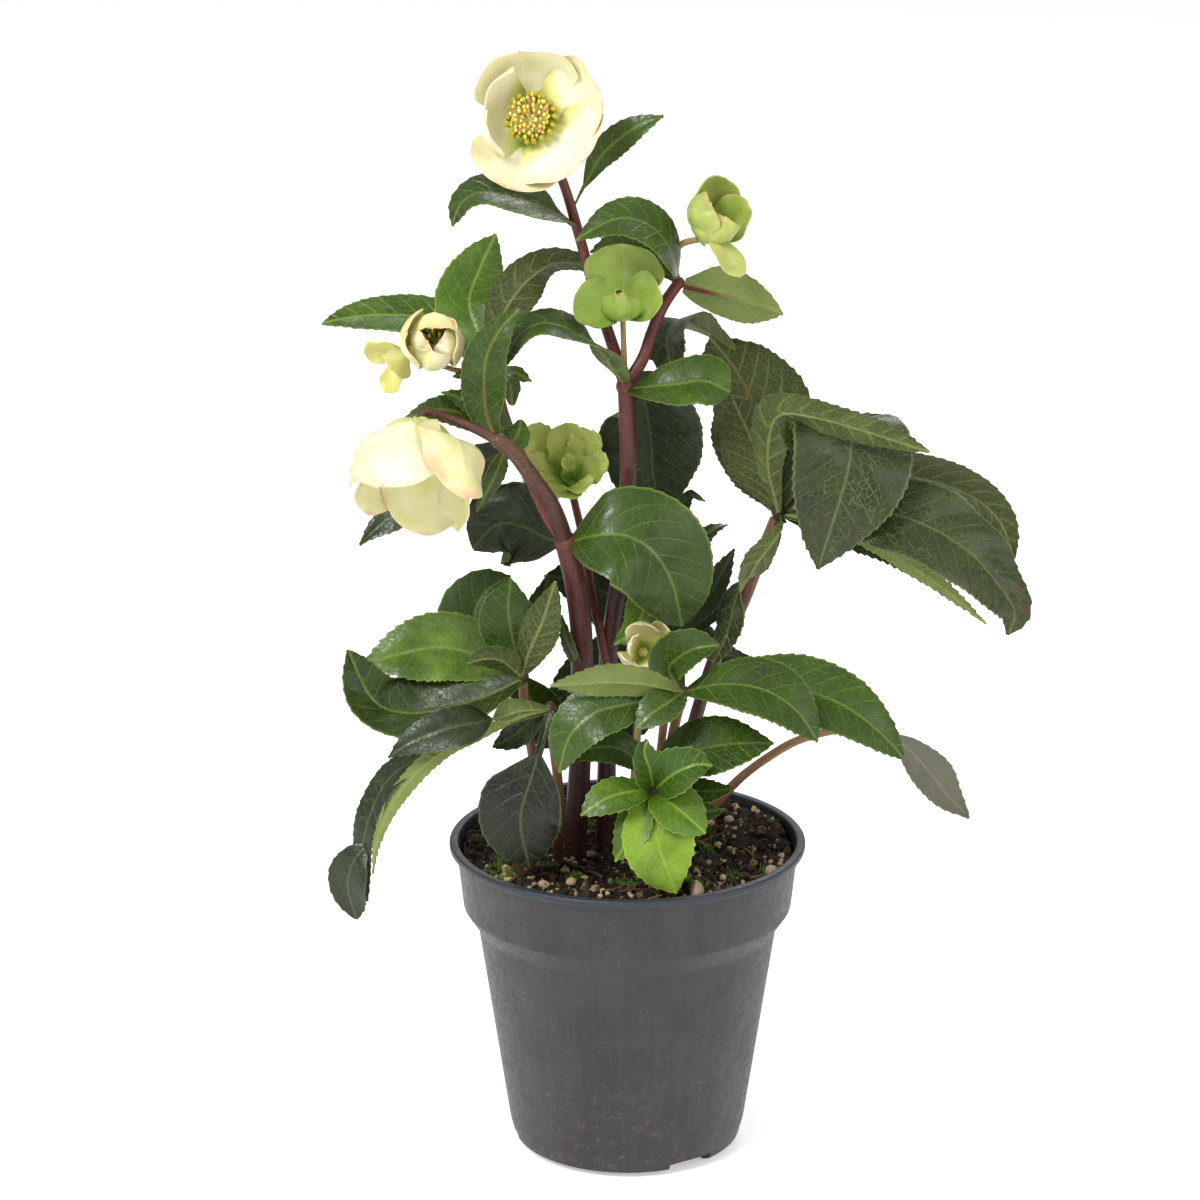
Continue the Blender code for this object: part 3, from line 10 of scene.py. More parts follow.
import bpy
import numpy as np
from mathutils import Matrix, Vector


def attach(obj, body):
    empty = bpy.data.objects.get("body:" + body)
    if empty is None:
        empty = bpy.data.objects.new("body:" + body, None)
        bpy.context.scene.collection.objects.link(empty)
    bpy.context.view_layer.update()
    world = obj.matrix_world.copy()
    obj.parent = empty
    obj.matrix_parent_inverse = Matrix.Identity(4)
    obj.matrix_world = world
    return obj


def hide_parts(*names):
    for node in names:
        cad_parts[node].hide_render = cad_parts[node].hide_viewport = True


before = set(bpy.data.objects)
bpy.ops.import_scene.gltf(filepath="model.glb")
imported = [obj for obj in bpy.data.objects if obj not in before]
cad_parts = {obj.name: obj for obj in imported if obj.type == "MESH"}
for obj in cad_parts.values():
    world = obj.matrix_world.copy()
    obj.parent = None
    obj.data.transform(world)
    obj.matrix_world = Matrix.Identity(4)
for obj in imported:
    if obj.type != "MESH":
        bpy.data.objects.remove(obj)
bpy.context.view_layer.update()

MM = 0.001

# The pot and its soil, as in the solids
POT_HEIGHT = 116.5
RIM_RADIUS = 65.0
RIM_DEPTH = 3.6
COLLAR_RADIUS = 62.3
COLLAR_FOOT_RADIUS = 60.0
COLLAR_FOOT = 95.0
SHOULDER = 86.0
WALL_TOP_RADIUS = 54.7
WALL_FOOT_RADIUS = 43.4
FOOT_ROUND = 6.0
POT_WALL = 1.3
DRAIN_HOLES = 3
DRAIN_WIDTH = 18.0
DRAIN_HEIGHT = 4.3
DRAIN_TURN = 34.0
SOIL_HEIGHT = 111.0
SOIL_HEAP = 3.6
HOLE_DEPTH = 16.0
GAP = 0.35
KNOB_LARGE = 2.6
KNOB_SMALL = 2.0

# The fineness of a leaf's and a petal's mesh, and the sizes of their fine forms
BLADE_GRAIN = 0.85
BLADE_THICKNESS = 0.45
RIB_HEIGHT = 0.7
TOOTH_LENGTH = 3.3
PETAL_GRAIN = 0.95
PETAL_THICKNESS = 0.5
PETAL_TOOTH = 3.2
PETAL_STEP = 0.85

# The eye that the front elevation is seen from, and how far below the pot's foot the elevation counts from
EYE = np.array([-10.0, -1500.0, 674.3])
DROP = 3.5

# The camera, in metres and degrees, and the lights as (name, place, power, size)
CAMERA_PLACE = (-0.010, -1.5, 0.674345)
CAMERA_TILT = 72.708
CAMERA_LENS = 131.22
LIGHTS = [("key", (-0.9, -1.1, 1.5), 28, 0.7), ("fill", (1.2, -0.9, 0.9), 7, 1.0),
          ("back", (0.3, 1.3, 1.4), 9, 0.8)]
LIT_POINT = (0, 0, 0.22)

# How many small things lie on the soil, and the turn from one stamen to the next
CRUMBS = 2600
TWIGS = 46
MOSS_TUFTS = 34
MOSS_BLADES = 34
GOLDEN_ANGLE = 2.39996


def seen(across, up, near=0.0):
    """The point of the front elevation, moved along its line of sight until it stands `near` in front."""
    flat = np.array([across, 0.0, up + DROP])
    return EYE + (flat - EYE) * (1.0 + near / EYE[1])


def route(*points):
    """The points, those given as they are seen moved to their places."""
    return [seen(*p) if isinstance(p, tuple) else p for p in points]


def unit(vectors):
    return vectors / np.maximum(np.linalg.norm(vectors, axis=-1, keepdims=True), 1e-9)


def smooth_line(points, skip=0.0, stop=0.0):
    """A fine smooth curve through the points, with the run of length along it, less its ends."""
    p = np.asarray(points, float)
    p = np.vstack([2 * p[0] - p[1], p, 2 * p[-1] - p[-2]])
    fine = []
    for a, b, c, d in zip(p[:-3], p[1:-2], p[2:-1], p[3:]):
        u = np.linspace(0, 1, 20, endpoint=False)[:, None]
        fine.append(0.5 * (2 * b + (c - a) * u + (2 * a - 5 * b + 4 * c - d) * u**2
                           + (3 * b - a - 3 * c + d) * u**3))
    fine = np.vstack([*fine, p[-2:-1]])
    run = np.concatenate([[0], np.cumsum(np.linalg.norm(np.diff(fine, axis=0), axis=1))])
    length = run[-1] - skip - stop
    at = np.linspace(skip, run[-1] - stop, 400)
    return np.stack([np.interp(at, run, fine[:, k]) for k in range(3)], 1), length


def along_line(line, shares):
    at = np.linspace(0, 1, len(line))
    return np.stack([np.interp(shares, at, line[:, k]) for k in range(3)], 1)


def spread(values, shares):
    """A number, a list of numbers or a list of directions, read along the shares."""
    values = np.asarray(values, float)
    if values.ndim == 0:
        return np.full(len(shares), float(values))
    at = np.linspace(0, 1, len(values))
    if values.ndim == 1:
        return np.interp(shares, at, values)
    return np.stack([np.interp(shares, at, values[:, k]) for k in range(values.shape[1])], 1)


def ease(values, low, high):
    """0 at or below low, 1 at or above high, and smooth between."""
    u = np.clip((np.asarray(values, float) - low) / (high - low), 0, 1)
    return u * u * (3 - 2 * u)


# Shapes: points, faces, each face's material number, and what the materials read at each point:
# `blade` is (place across in mm, side veins passed, share along), `shade` is (tone, share across, brown),
# and `red` is how red

class Shape:
    """Points and faces, with what the materials read."""

    def __init__(self, points, faces, slots, blade=None, shade=None, red=None):
        count = len(points)
        self.points = np.asarray(points, float)
        self.faces = faces
        self.slots = slots if np.ndim(slots) else [slots] * len(faces)
        self.blade = np.zeros((count, 3)) if blade is None else blade
        self.shade = np.tile([0.5, 0.0, 0.0], (count, 1)) if shade is None else shade
        self.red = np.zeros(count) if red is None else red


def piece(node, shapes, materials, sharp=45):
    """One object in the scene from shapes, with the named materials, standing for a node of the solids."""
    points = np.vstack([s.points for s in shapes])
    faces = []
    slots = []
    start = 0
    for s in shapes:
        faces += [tuple(i + start for i in f) for f in s.faces]
        slots += list(s.slots)
        start += len(s.points)
    mesh = bpy.data.meshes.new(node + "_fine")
    mesh.from_pydata((points * MM).tolist(), [], faces)
    for name in materials:
        mesh.materials.append(MATERIALS[name])
    mesh.polygons.foreach_set("material_index", slots)
    for kind, label, values in (("FLOAT_VECTOR", "blade", np.vstack([s.blade for s in shapes])),
                                ("FLOAT_VECTOR", "shade", np.vstack([s.shade for s in shapes])),
                                ("FLOAT", "red", np.concatenate([s.red for s in shapes]))):
        attribute = mesh.attributes.new(label, kind, "POINT")
        key = "vector" if kind == "FLOAT_VECTOR" else "value"
        attribute.data.foreach_set(key, np.ascontiguousarray(values, np.float32).ravel())
    mesh.shade_smooth()
    mesh.set_sharp_from_angle(angle=math.radians(sharp))
    made = bpy.data.objects.new(node + "_fine", mesh)
    bpy.context.scene.collection.objects.link(made)
    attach(made, "root")
    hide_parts(node)


def sheet(grid, thickness, rib):
    """Points and faces of a thin closed sheet: its upper face, its under face with a rib, and its edge."""
    rows, columns = grid.shape[:2]
    across = np.gradient(grid, axis=1)
    along = np.gradient(grid, axis=0)
    normal = unit(np.cross(across, along))
    under = grid - normal * (thickness + rib)[..., None]
    count = rows * columns
    i, j = np.meshgrid(np.arange(rows - 1), np.arange(columns - 1), indexing="ij")
    a = (i * columns + j).ravel()
    top = np.stack([a, a + 1, a + columns + 1, a + columns], 1)
    ring = [*range(columns), *[r * columns + columns - 1 for r in range(1, rows)],
            *[(rows - 1) * columns + c for c in range(columns - 2, -1, -1)],
            *[r * columns for r in range(rows - 2, 0, -1)]]
    edge = [(q, p, p + count, q + count) for p, q in zip(ring, ring[1:] + ring[:1])]
    faces = [*map(tuple, top.tolist()), *map(tuple, (top[:, ::-1] + count).tolist()), *edge]
    slots = [0] * len(top) + [1] * (len(top) + len(edge))
    return np.vstack([grid.reshape(-1, 3), under.reshape(-1, 3)]), faces, slots


def sheet_shape(grid, thickness, rib, slots, place, shade, red):
    """The sheet as a shape. What its materials read is given for its upper points, for both sides."""
    points, faces, kinds = sheet(grid, thickness, rib)
    read = [np.stack(np.broadcast_arrays(*values), -1).reshape(-1, 3) for values in (place, shade)]
    return Shape(points, faces, [slots[k] for k in kinds], *[np.tile(v, (2, 1)) for v in read],
                 np.tile(red, 2))


SHAPES = {
    # how wide the foot is, where the blade is widest, and how its outer part runs in to the tip
    "bract": (0.26, 0.42, 2.0, 0.90),
    "leaflet": (0.07, 0.52, 1.9, 0.95),
    "broad": (0.12, 0.46, 2.2, 0.80),
    "fan": (0.20, 0.74, 2.6, 0.70),
    "petal": (0.26, 0.60, 2.2, 0.52),
}


def blade(spine, width, face, shape="leaflet", fold=14, curl=-16, wave=0.0, waves=2.5, stalk=0.0, skip=0.0,
          teeth=0.55, quilt=0.12, tone=0.5, red=0.0, brown=0.0, rough=0.7, tooth_length=TOOTH_LENGTH,
          seed=0, slots=(0, 1)):
    """A leaf. `face` is where its upper side looks; `fold` and `curl` bend its two halves."""
    draw = np.random.RandomState(seed)
    line, length = smooth_line(route(*spine), skip)
    rows = int(np.clip(length / BLADE_GRAIN, 14, 130))
    columns = 2 * int(np.clip(width / 3.0, 3, 12))
    t = np.linspace(0, 1, rows + 1)
    t = t + 0.12 * t * (1 - t) * t
    centre = along_line(line, t)
    tangent = unit(np.gradient(centre, axis=0))
    look = spread([face, face] if np.ndim(face) == 1 else face, t)
    normal = unit(look - (look * tangent).sum(1, keepdims=True) * tangent)
    side = np.cross(tangent, normal)
    foot, widest, run_in, blunt = SHAPES[shape]
    u = np.clip((t - stalk) / (1 - stalk), 0, 1)
    rise = foot + (1 - foot) * np.sin(np.pi / 2 * np.clip(u / widest, 0, 1))
    fall = (1 - np.clip((u - widest) / (1 - widest), 0, 1) ** run_in) ** blunt
    share = np.where(u < widest, rise, fall)
    share = np.where(t < stalk, np.minimum(share, 3.2 / width), share)
    half = np.maximum(width / 2 * share, 0.35)
    lateral = np.linspace(-1, 1, columns + 1)
    a = np.abs(lateral)[None, :]
    sign = np.sign(lateral)[None, :]
    tooth = t * max(3, round(length / tooth_length)) + draw.uniform(0, 1)
    tooth = tooth - np.floor(tooth)
    saw = teeth * (tooth**1.4 - 0.45) * ease(t, 0.12 + stalk, 0.25 + stalk) * ease(1 - t, 0.0, 0.06)
    uneven = sum(draw.uniform(0.3, 1) * np.sin(t * k + draw.uniform(0, 6)) for k in (3, 7, 13)) * 0.02
    reach = half[:, None] * (1 + uneven[:, None] * np.where(sign > 0, 1, -0.7))
    out_mm = reach * a + saw[:, None] * ease(a, 0.80, 1.0)
    folds = np.radians(spread(fold, t))[:, None, None]
    curls = np.radians(spread(curl, t))[:, None, None]
    s = (np.arange(12) + 0.5) / 12 * a[..., None]
    angle = folds * ease(s, -0.02, 0.10) + curls * s
    out = out_mm * np.cos(angle).mean(-1)
    lift = out_mm * np.sin(angle).mean(-1)
    y = (t * length)[:, None]
    spacing = float(np.clip(length / 9, 3.6, 7.5))
    flow = (y - 0.80 * out_mm - 0.010 * out_mm**2) / spacing + np.where(sign > 0, 0.5, 0.0)
    margin = 1 - a**3
    pillow = (np.abs(np.sin(np.pi * flow)) ** 0.8 - 0.6) * ease(a, 0.02, 0.25) * margin
    lift = lift + quilt * pillow * ease(t, 0.02, 0.15)[:, None]
    bumps = np.zeros_like(out_mm)
    for _ in range(5):
        kx, ky = draw.uniform(0.05, 0.32), draw.uniform(0.06, 0.30)
        bumps += np.sin(kx * sign * out_mm + ky * y + draw.uniform(0, 6)) * draw.uniform(0.3, 1)
    lift = lift + rough * 0.32 * bumps * ease(t, 0.0, 0.2)[:, None] * ease(a, 0.0, 0.6)
    ripple = np.sin(2 * np.pi * waves * t[:, None] + np.where(sign > 0, 1.7, 0))
    lift = lift + wave * a**1.6 * ripple * np.sin(np.pi * t[:, None])
    grid = (centre[:, None] + side[:, None] * (sign * out)[..., None] + normal[:, None] * lift[..., None]
            + tangent[:, None] * (np.maximum(saw, 0)[:, None] * ease(a, 0.8, 1.0) * 0.9)[..., None])
    rib = RIB_HEIGHT * np.exp(-(out_mm / 0.8) ** 2) * (1 - 0.75 * t[:, None])
    tone = tone + draw.uniform(-0.10, 0.10)
    brown = brown * ease(t, 0.55, 1.0)[:, None] + brown * 0.5 * a**4
    red = np.repeat(spread([red, red * 0.6, red * 0.3, 0] if np.ndim(red) == 0 else red, t), columns + 1)
    return sheet_shape(grid, BLADE_THICKNESS, rib, slots, (sign * out_mm, flow, t[:, None]),
                       (tone, a, brown), red)


def ring_faces(rings, sides):
    """The faces between stacked rings of points, closed by the two points that follow them."""
    faces = []
    for i in range(rings - 1):
        for j in range(sides):
            k = (j + 1) % sides
            faces.append((i * sides + j, i * sides + k, (i + 1) * sides + k, (i + 1) * sides + j))
    first, last, top = rings * sides, rings * sides + 1, (rings - 1) * sides
    faces += [(first, (j + 1) % sides, j) for j in range(sides)]
    faces += [(last, top + j, top + (j + 1) % sides) for j in range(sides)]
    return faces


def tube(points, radii, sides=16, step=1.6, stop=0.0, slot=0, tone=(0.5, 0.5), ridge=0.02):
    """A round stalk through points, with its tone from foot to tip."""
    line, length = smooth_line(points, stop=stop)
    count = max(3, int(length / step)) + 1
    t = np.linspace(0, 1, count)
    centre = along_line(line, t)
    radius = spread(radii, t)
    tangent = unit(np.gradient(centre, axis=0))
    start = np.array([1.0, 0.0, 0.0]) if abs(tangent[0][0]) < 0.9 else np.array([0.0, 1.0, 0.0])
    turn = np.linspace(0, 2 * np.pi, sides, endpoint=False)
    swell = 1 + ridge * np.cos(5 * turn)[None, :] + ridge * np.sin(t * length * 0.23)[:, None]
    rings = []
    for i in range(count):
        start = unit(start - start.dot(tangent[i]) * tangent[i])
        other = np.cross(tangent[i], start)
        circle = np.cos(turn)[:, None] * start + np.sin(turn)[:, None] * other
        rings.append(centre[i] + radius[i] * swell[i][:, None] * circle)
    ends = [centre[:1] - tangent[:1] * radius[0] * 0.3, centre[-1:] + tangent[-1:] * radius[-1] * 0.3]
    share = np.concatenate([np.repeat(t, sides), [0, 1]])
    around = np.concatenate([np.tile(turn, count) * np.repeat(radius, sides), [0, 0]])
    values = np.stack([around, share * length, share], 1)
    shades = np.stack([spread(tone, share), share, np.zeros(len(share))], 1)
    return Shape(np.vstack([*rings, *ends]), ring_faces(count, sides), slot, values, shades)


def knob(centre, radius, slot=0, tone=0.5, sides=16, tall=1.0):
    """A rounded node or hub."""
    lats = np.linspace(-math.pi / 2, math.pi / 2, 9)
    turn = np.linspace(0, 2 * np.pi, sides, endpoint=False)
    directions = [(math.cos(b) * math.cos(a), math.cos(b) * math.sin(a), math.sin(b) * tall)
                  for b in lats[1:-1] for a in turn]
    directions += [(0, 0, -tall), (0, 0, tall)]
    points = [centre + radius * np.array(d) for d in directions]
    shades = np.tile([tone, 0.0, 0.0], (len(points), 1))
    return Shape(points, ring_faces(len(lats) - 2, sides), slot, None, shades)


def behind_bloom(receptacle, axis, reach):
    """A point behind a bloom, on its axis, through which its stalk comes in."""
    return receptacle - unit(np.array(axis)) * reach


def foot(across, back):
    """The two lowest points of a stalk that stands in the soil."""
    return [np.array([across, back, height]) for height in (SOIL_HEIGHT - HOLE_DEPTH + GAP,
                                                            SOIL_HEIGHT + 3)]


UPPER_NODE = seen(-48, 293, -9)
RIGHT_NODE = seen(17.5, 320.5, -12)

# Where each bloom's receptacle is, and where it faces
TOP_BLOOM = seen(-33, 378, -12)
TOP_AXIS = (-0.10, -0.93, 0.35)
LEFT_BLOOM = seen(-73, 269.5, 26)
LEFT_AXIS = (-0.14, -0.40, -0.90)
CUP_BLOOM = seen(-67.5, 297, -5)
CUP_AXIS = (-0.04, -0.88, 0.46)
PALE_BLOOM = seen(-78, 295, -16)
PALE_AXIS = (-0.60, -0.55, -0.40)
BUD_BLOOM = seen(26, 336.5, -6)
BUD_AXIS = (0.50, -0.35, 0.79)
GREEN_BLOOM = seen(-2, 309, -2)
GREEN_AXIS = (-0.10, -0.72, 0.69)
CLUSTER_BLOOM = seen(-20, 247, -23)
CLUSTER_AXIS = (0.0, -0.75, 0.66)
LOW_BLOOM = seen(5.5, 184, 10)
LOW_AXIS = (0.05, -0.85, 0.50)

SMALL_BRACTS_LEFT = [
    ([(-47, 290, -9), (-55, 288, -6), (-62, 287, -4)], 6, (0, -0.6, 0.8)),
    ([(-41, 264, -5), (-51, 274, 0), (-60, 279, 4), (-66, 281, 6)], 10, (0, -0.9, 0.4)),
    ([(-44, 268, -6), (-55, 272, 0), (-67, 274.5, 5), (-80, 271, 8)], 12, (-0.1, -0.8, 0.5)),
    ([(-46, 283, -8), (-41, 288, -8), (-34, 285, -8)], 6, (0, -0.8, 0.6)),
    ([(-46, 288, -8), (-42, 284, -4), (-41, 276, -2)], 8, (0.2, -0.9, 0.3)),
    ([(-43, 260, 15), (-39, 266, 9), (-38, 271, 6)], 10, (0.1, -0.9, 0.3)),
    ([(-44, 260, 15), (-47, 251, 9), (-51, 243, 6), (-54, 237, 5)], 7, (0.2, -0.9, 0.2)),
    ([(-17, 176, 2), (-21, 186, 8), (-24, 198, 9)], 6, (-0.5, -0.8, 0.2)),
]

STALKS = {
    # name: foot (across, back), route as seen, radii, the hub it ends at
    "stalk_right": ((16, 14), [(20, 140, -13), (30, 178, -12), (40, 200, -11), (46, 216, -10)],
                    [2.6, 2.4], (54, 237, -9), 3.2),
    "stalk_low_right": ((27, 24), [(33, 127, -24), (41, 136, -24), (51, 144, -25), (63, 151, -28),
                                   (80, 155, -32)], [1.9, 1.4], (95, 153, -37), 1.8),
    "stalk_front": ((14, -13), [(15, 130, 14), (16, 150, 17)], [2.0, 1.8], (20, 169, 27), 2.6),
    "stalk_left": ((-33, 2), [(-34, 140, 3), (-37, 160, 8)], [1.9, 1.7], (-38, 175, 10), 2.5),
    "stalk_low_left": ((-25, -14), [(-25, 130, 16), (-27, 150, 22)], [1.9, 1.7], (-28, 163, 26), 2.5),
    "stalk_back": ((8, 22), [(10, 130, -21), (14, 165, -21)], [1.7, 1.5], (17, 191, -20), 2.2),
    "stalk_shoot": ((9, -33), [(9.5, 120, 33.5)], [1.8, 1.6], (9.5, 131, 34), 2.4),
    "stalk_low_front": ((3, -18), [(4, 125, 21)], [1.7, 1.5], (8, 137, 27), 2.2),
    "stalk_bud": ((1, -12), [(2, 130, 8), (4, 160, 3), (5, 177, 2)], [1.5, 1.3], (5.5, 184, 10), 2.0),
}

